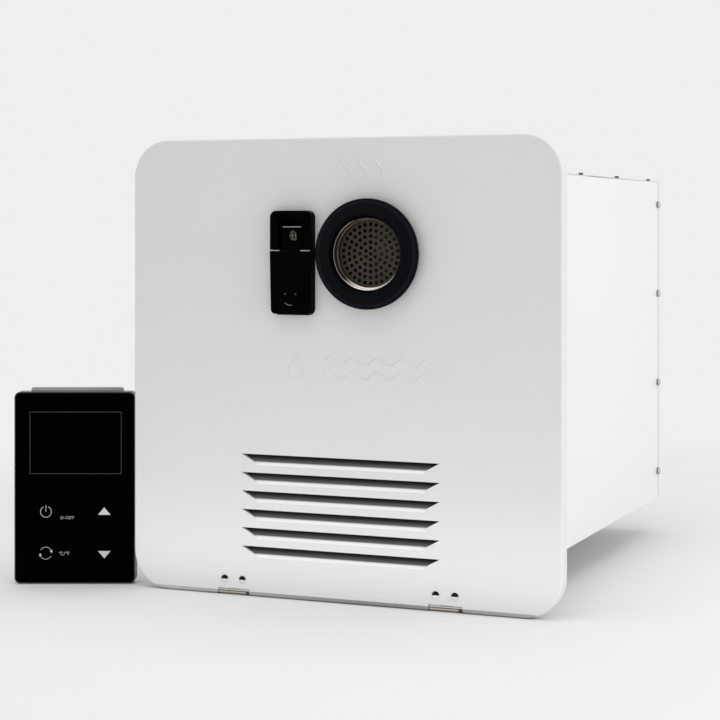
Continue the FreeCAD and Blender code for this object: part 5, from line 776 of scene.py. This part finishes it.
# Plain stroke letters in a box 1 high, each with its width. The ' is a degree ring.
LETTERS = {
    "O": (0.72, [[(0.2, 0), (0, 0.2), (0, 0.8), (0.2, 1), (0.52, 1), (0.72, 0.8), (0.72, 0.2), (0.52, 0),
                  (0.2, 0)]]),
    "N": (0.68, [[(0, 0), (0, 1), (0.68, 0), (0.68, 1)]]),
    "F": (0.55, [[(0, 0), (0, 1), (0.55, 1)], [(0, 0.52), (0.45, 0.52)]]),
    "C": (0.66, [[(0.66, 0.8), (0.5, 1), (0.2, 1), (0, 0.8), (0, 0.2), (0.2, 0), (0.5, 0), (0.66, 0.2)]]),
    "/": (0.45, [[(0, -0.1), (0.45, 1.1)]]),
    "'": (0.26, [[(0.13, 0.74), (0, 0.87), (0.13, 1), (0.26, 0.87), (0.13, 0.74)]]),
}


def written(text, centre, width, gap=0.28):
    """Strokes of a short word, as wide as given and centred on a point."""
    strokes = []
    across = 0
    for letter in text:
        wide, paths = LETTERS[letter]
        strokes += [[(across + u, v) for u, v in path] for path in paths]
        across += wide + gap
    scale = width / (across - gap)
    return [[(centre[0] + (u - (across - gap) / 2) * scale, centre[1] + (v - 0.5) * scale) for u, v in path]
            for path in strokes]


# ---------------------------------------------------------------- door

SIGN_WIDTH = 0.0018
SIGN_DEPTH = 0.00045
HEAT_UP = (0.1535, 0.1718)
HEAT_ACROSS = (0.0065, 0.0215, 0.0365)
HEAT_SWING = 0.0032
DROP = (-0.037, -0.0047)  # middle of the drop's round end
DROP_RADIUS = 0.0066
DROP_TIP = 0.0078
WATER_ACROSS = (-0.0125, 0.0935)
WATER_UP = (-0.0075, 0.0035)
WATER_SWING = 0.0030


def door_signs(mats):
    """Raised signs pressed in the door: warmth above, a drop and water below."""
    face = Matrix.Translation((0, DOOR_FACE, 0)) @ Matrix.Rotation(math.radians(90), 4, "X")
    heat = [[(across + v, u) for u, v in wave(*HEAT_UP, 0, HEAT_SWING, 1)] for across in HEAT_ACROSS]
    drop = arc(DROP, DROP_RADIUS, 150, 390) + [(DROP[0], DROP_TIP)]
    water = [wave(*WATER_ACROSS, level, WATER_SWING, 5) for level in WATER_UP]
    for name, paths, closed in (("heat_sign", heat, False), ("drop_sign", [drop], True),
                                ("water_sign", water, False)):
        lines(name, paths, SIGN_WIDTH, SIGN_DEPTH, face, "door", "white_paint", mats["white_paint"], closed)


# ---------------------------------------------------------------- controller

PANEL = (0.104, 0.165)  # the controller's width and height
PANEL_CORNER = (-0.1955, -0.002, -0.1937)  # its front's lower right corner
PRINT = 0.00003  # how far the printing stands off the glass
# Places on the panel as shares of its width and height, from its upper left corner.
SCREEN = ((0.128, 0.427), (0.885, 0.427), (0.885, 0.105), (0.128, 0.105))
POWER = (0.261, 0.626)
ON_OFF = (0.439, 0.657)
CYCLE = (0.260, 0.842)
DEGREES = (0.4125, 0.844)
ARROWS = {"up_arrow": ((0.691, 0.642), (0.797, 0.642), (0.744, 0.603)),
          "down_arrow": ((0.692, 0.831), (0.7445, 0.869), (0.797, 0.831))}
POWER_RADIUS = 0.0047
POWER_BAR = (0.0002, 0.0056)
CYCLE_RADIUS = 0.0052
HEAD_TIP = 16  # degrees from the middle of an arrow head on the cycle sign to its tip
HEAD_TAIL = 12  # and to its back corners
HEAD_OUTER, HEAD_INNER = 0.0064, 0.0039  # those corners' distances from the sign's middle
# Widths of the strokes and of the words.
SCREEN_STROKE = 0.0005
POWER_STROKE = 0.00046
CYCLE_STROKE = 0.00038
ON_OFF_STROKE, ON_OFF_WIDTH = 0.00026, 0.0116
DEGREES_STROKE, DEGREES_WIDTH = 0.0003, 0.0092


def print_ink(name, colour, roughness):
    """Matt ink with slight unevenness."""
    finish = Finish(name, colour, roughness)
    finish.vary_colour(finish.noise(200.0), 0.05)
    return finish.mat


def panel_marks():
    """Screen outline, key signs and arrows printed on the controller's glass."""
    turn = Matrix.Rotation(CAMERA_YAW, 4, "Z") @ Matrix.Rotation(math.radians(90), 4, "X")
    face = Matrix.Translation(PANEL_CORNER) @ turn @ Matrix.Translation((-PANEL[0], PANEL[1], 0))
    print_white = print_ink("print_white", grey(0.55), 0.5)
    print_grey = print_ink("print_grey", (0.06, 0.06, 0.062), 0.4)

    def at(u, v):
        """A place on the panel in metres, from its shares."""
        return u * PANEL[0], -v * PANEL[1]

    def line(name, paths, width, mat=print_white, closed=False):
        lines(name, paths, width, PRINT, face, "controller", "controller_front", mat, closed)

    def shape(name, outlines):
        fill(name, outlines, PRINT, face, "controller", print_white)

    def rim(radius, angle):
        """A point round the cycle sign's middle."""
        return arc(cycle, radius, angle, angle)[0]

    line("screen_outline", [[at(*corner) for corner in SCREEN]], SCREEN_STROKE, print_grey, True)
    power = at(*POWER)
    bar = [(power[0], power[1] + height) for height in POWER_BAR]
    line("power_sign", [arc(power, POWER_RADIUS, 115, 425), bar], POWER_STROKE)
    line("on_off_sign", written("ON/OFF", at(*ON_OFF), ON_OFF_WIDTH), ON_OFF_STROKE)
    cycle = at(*CYCLE)
    line("cycle_sign", [arc(cycle, CYCLE_RADIUS, 20, 150), arc(cycle, CYCLE_RADIUS, 200, 330)], CYCLE_STROKE)
    heads = [[rim(CYCLE_RADIUS, middle - HEAD_TIP), rim(HEAD_OUTER, middle + HEAD_TAIL),
              rim(HEAD_INNER, middle + HEAD_TAIL)] for middle in (15, 195)]
    shape("cycle_heads", heads)
    line("degree_sign", written("'C/'F", at(*DEGREES), DEGREES_WIDTH), DEGREES_STROKE)
    for name, corners in ARROWS.items():
        shape(name, [[at(*corner) for corner in corners]])


camera()
stage()
lights()
mats = finishes()
dress(mats)
door_signs(mats)
panel_marks()
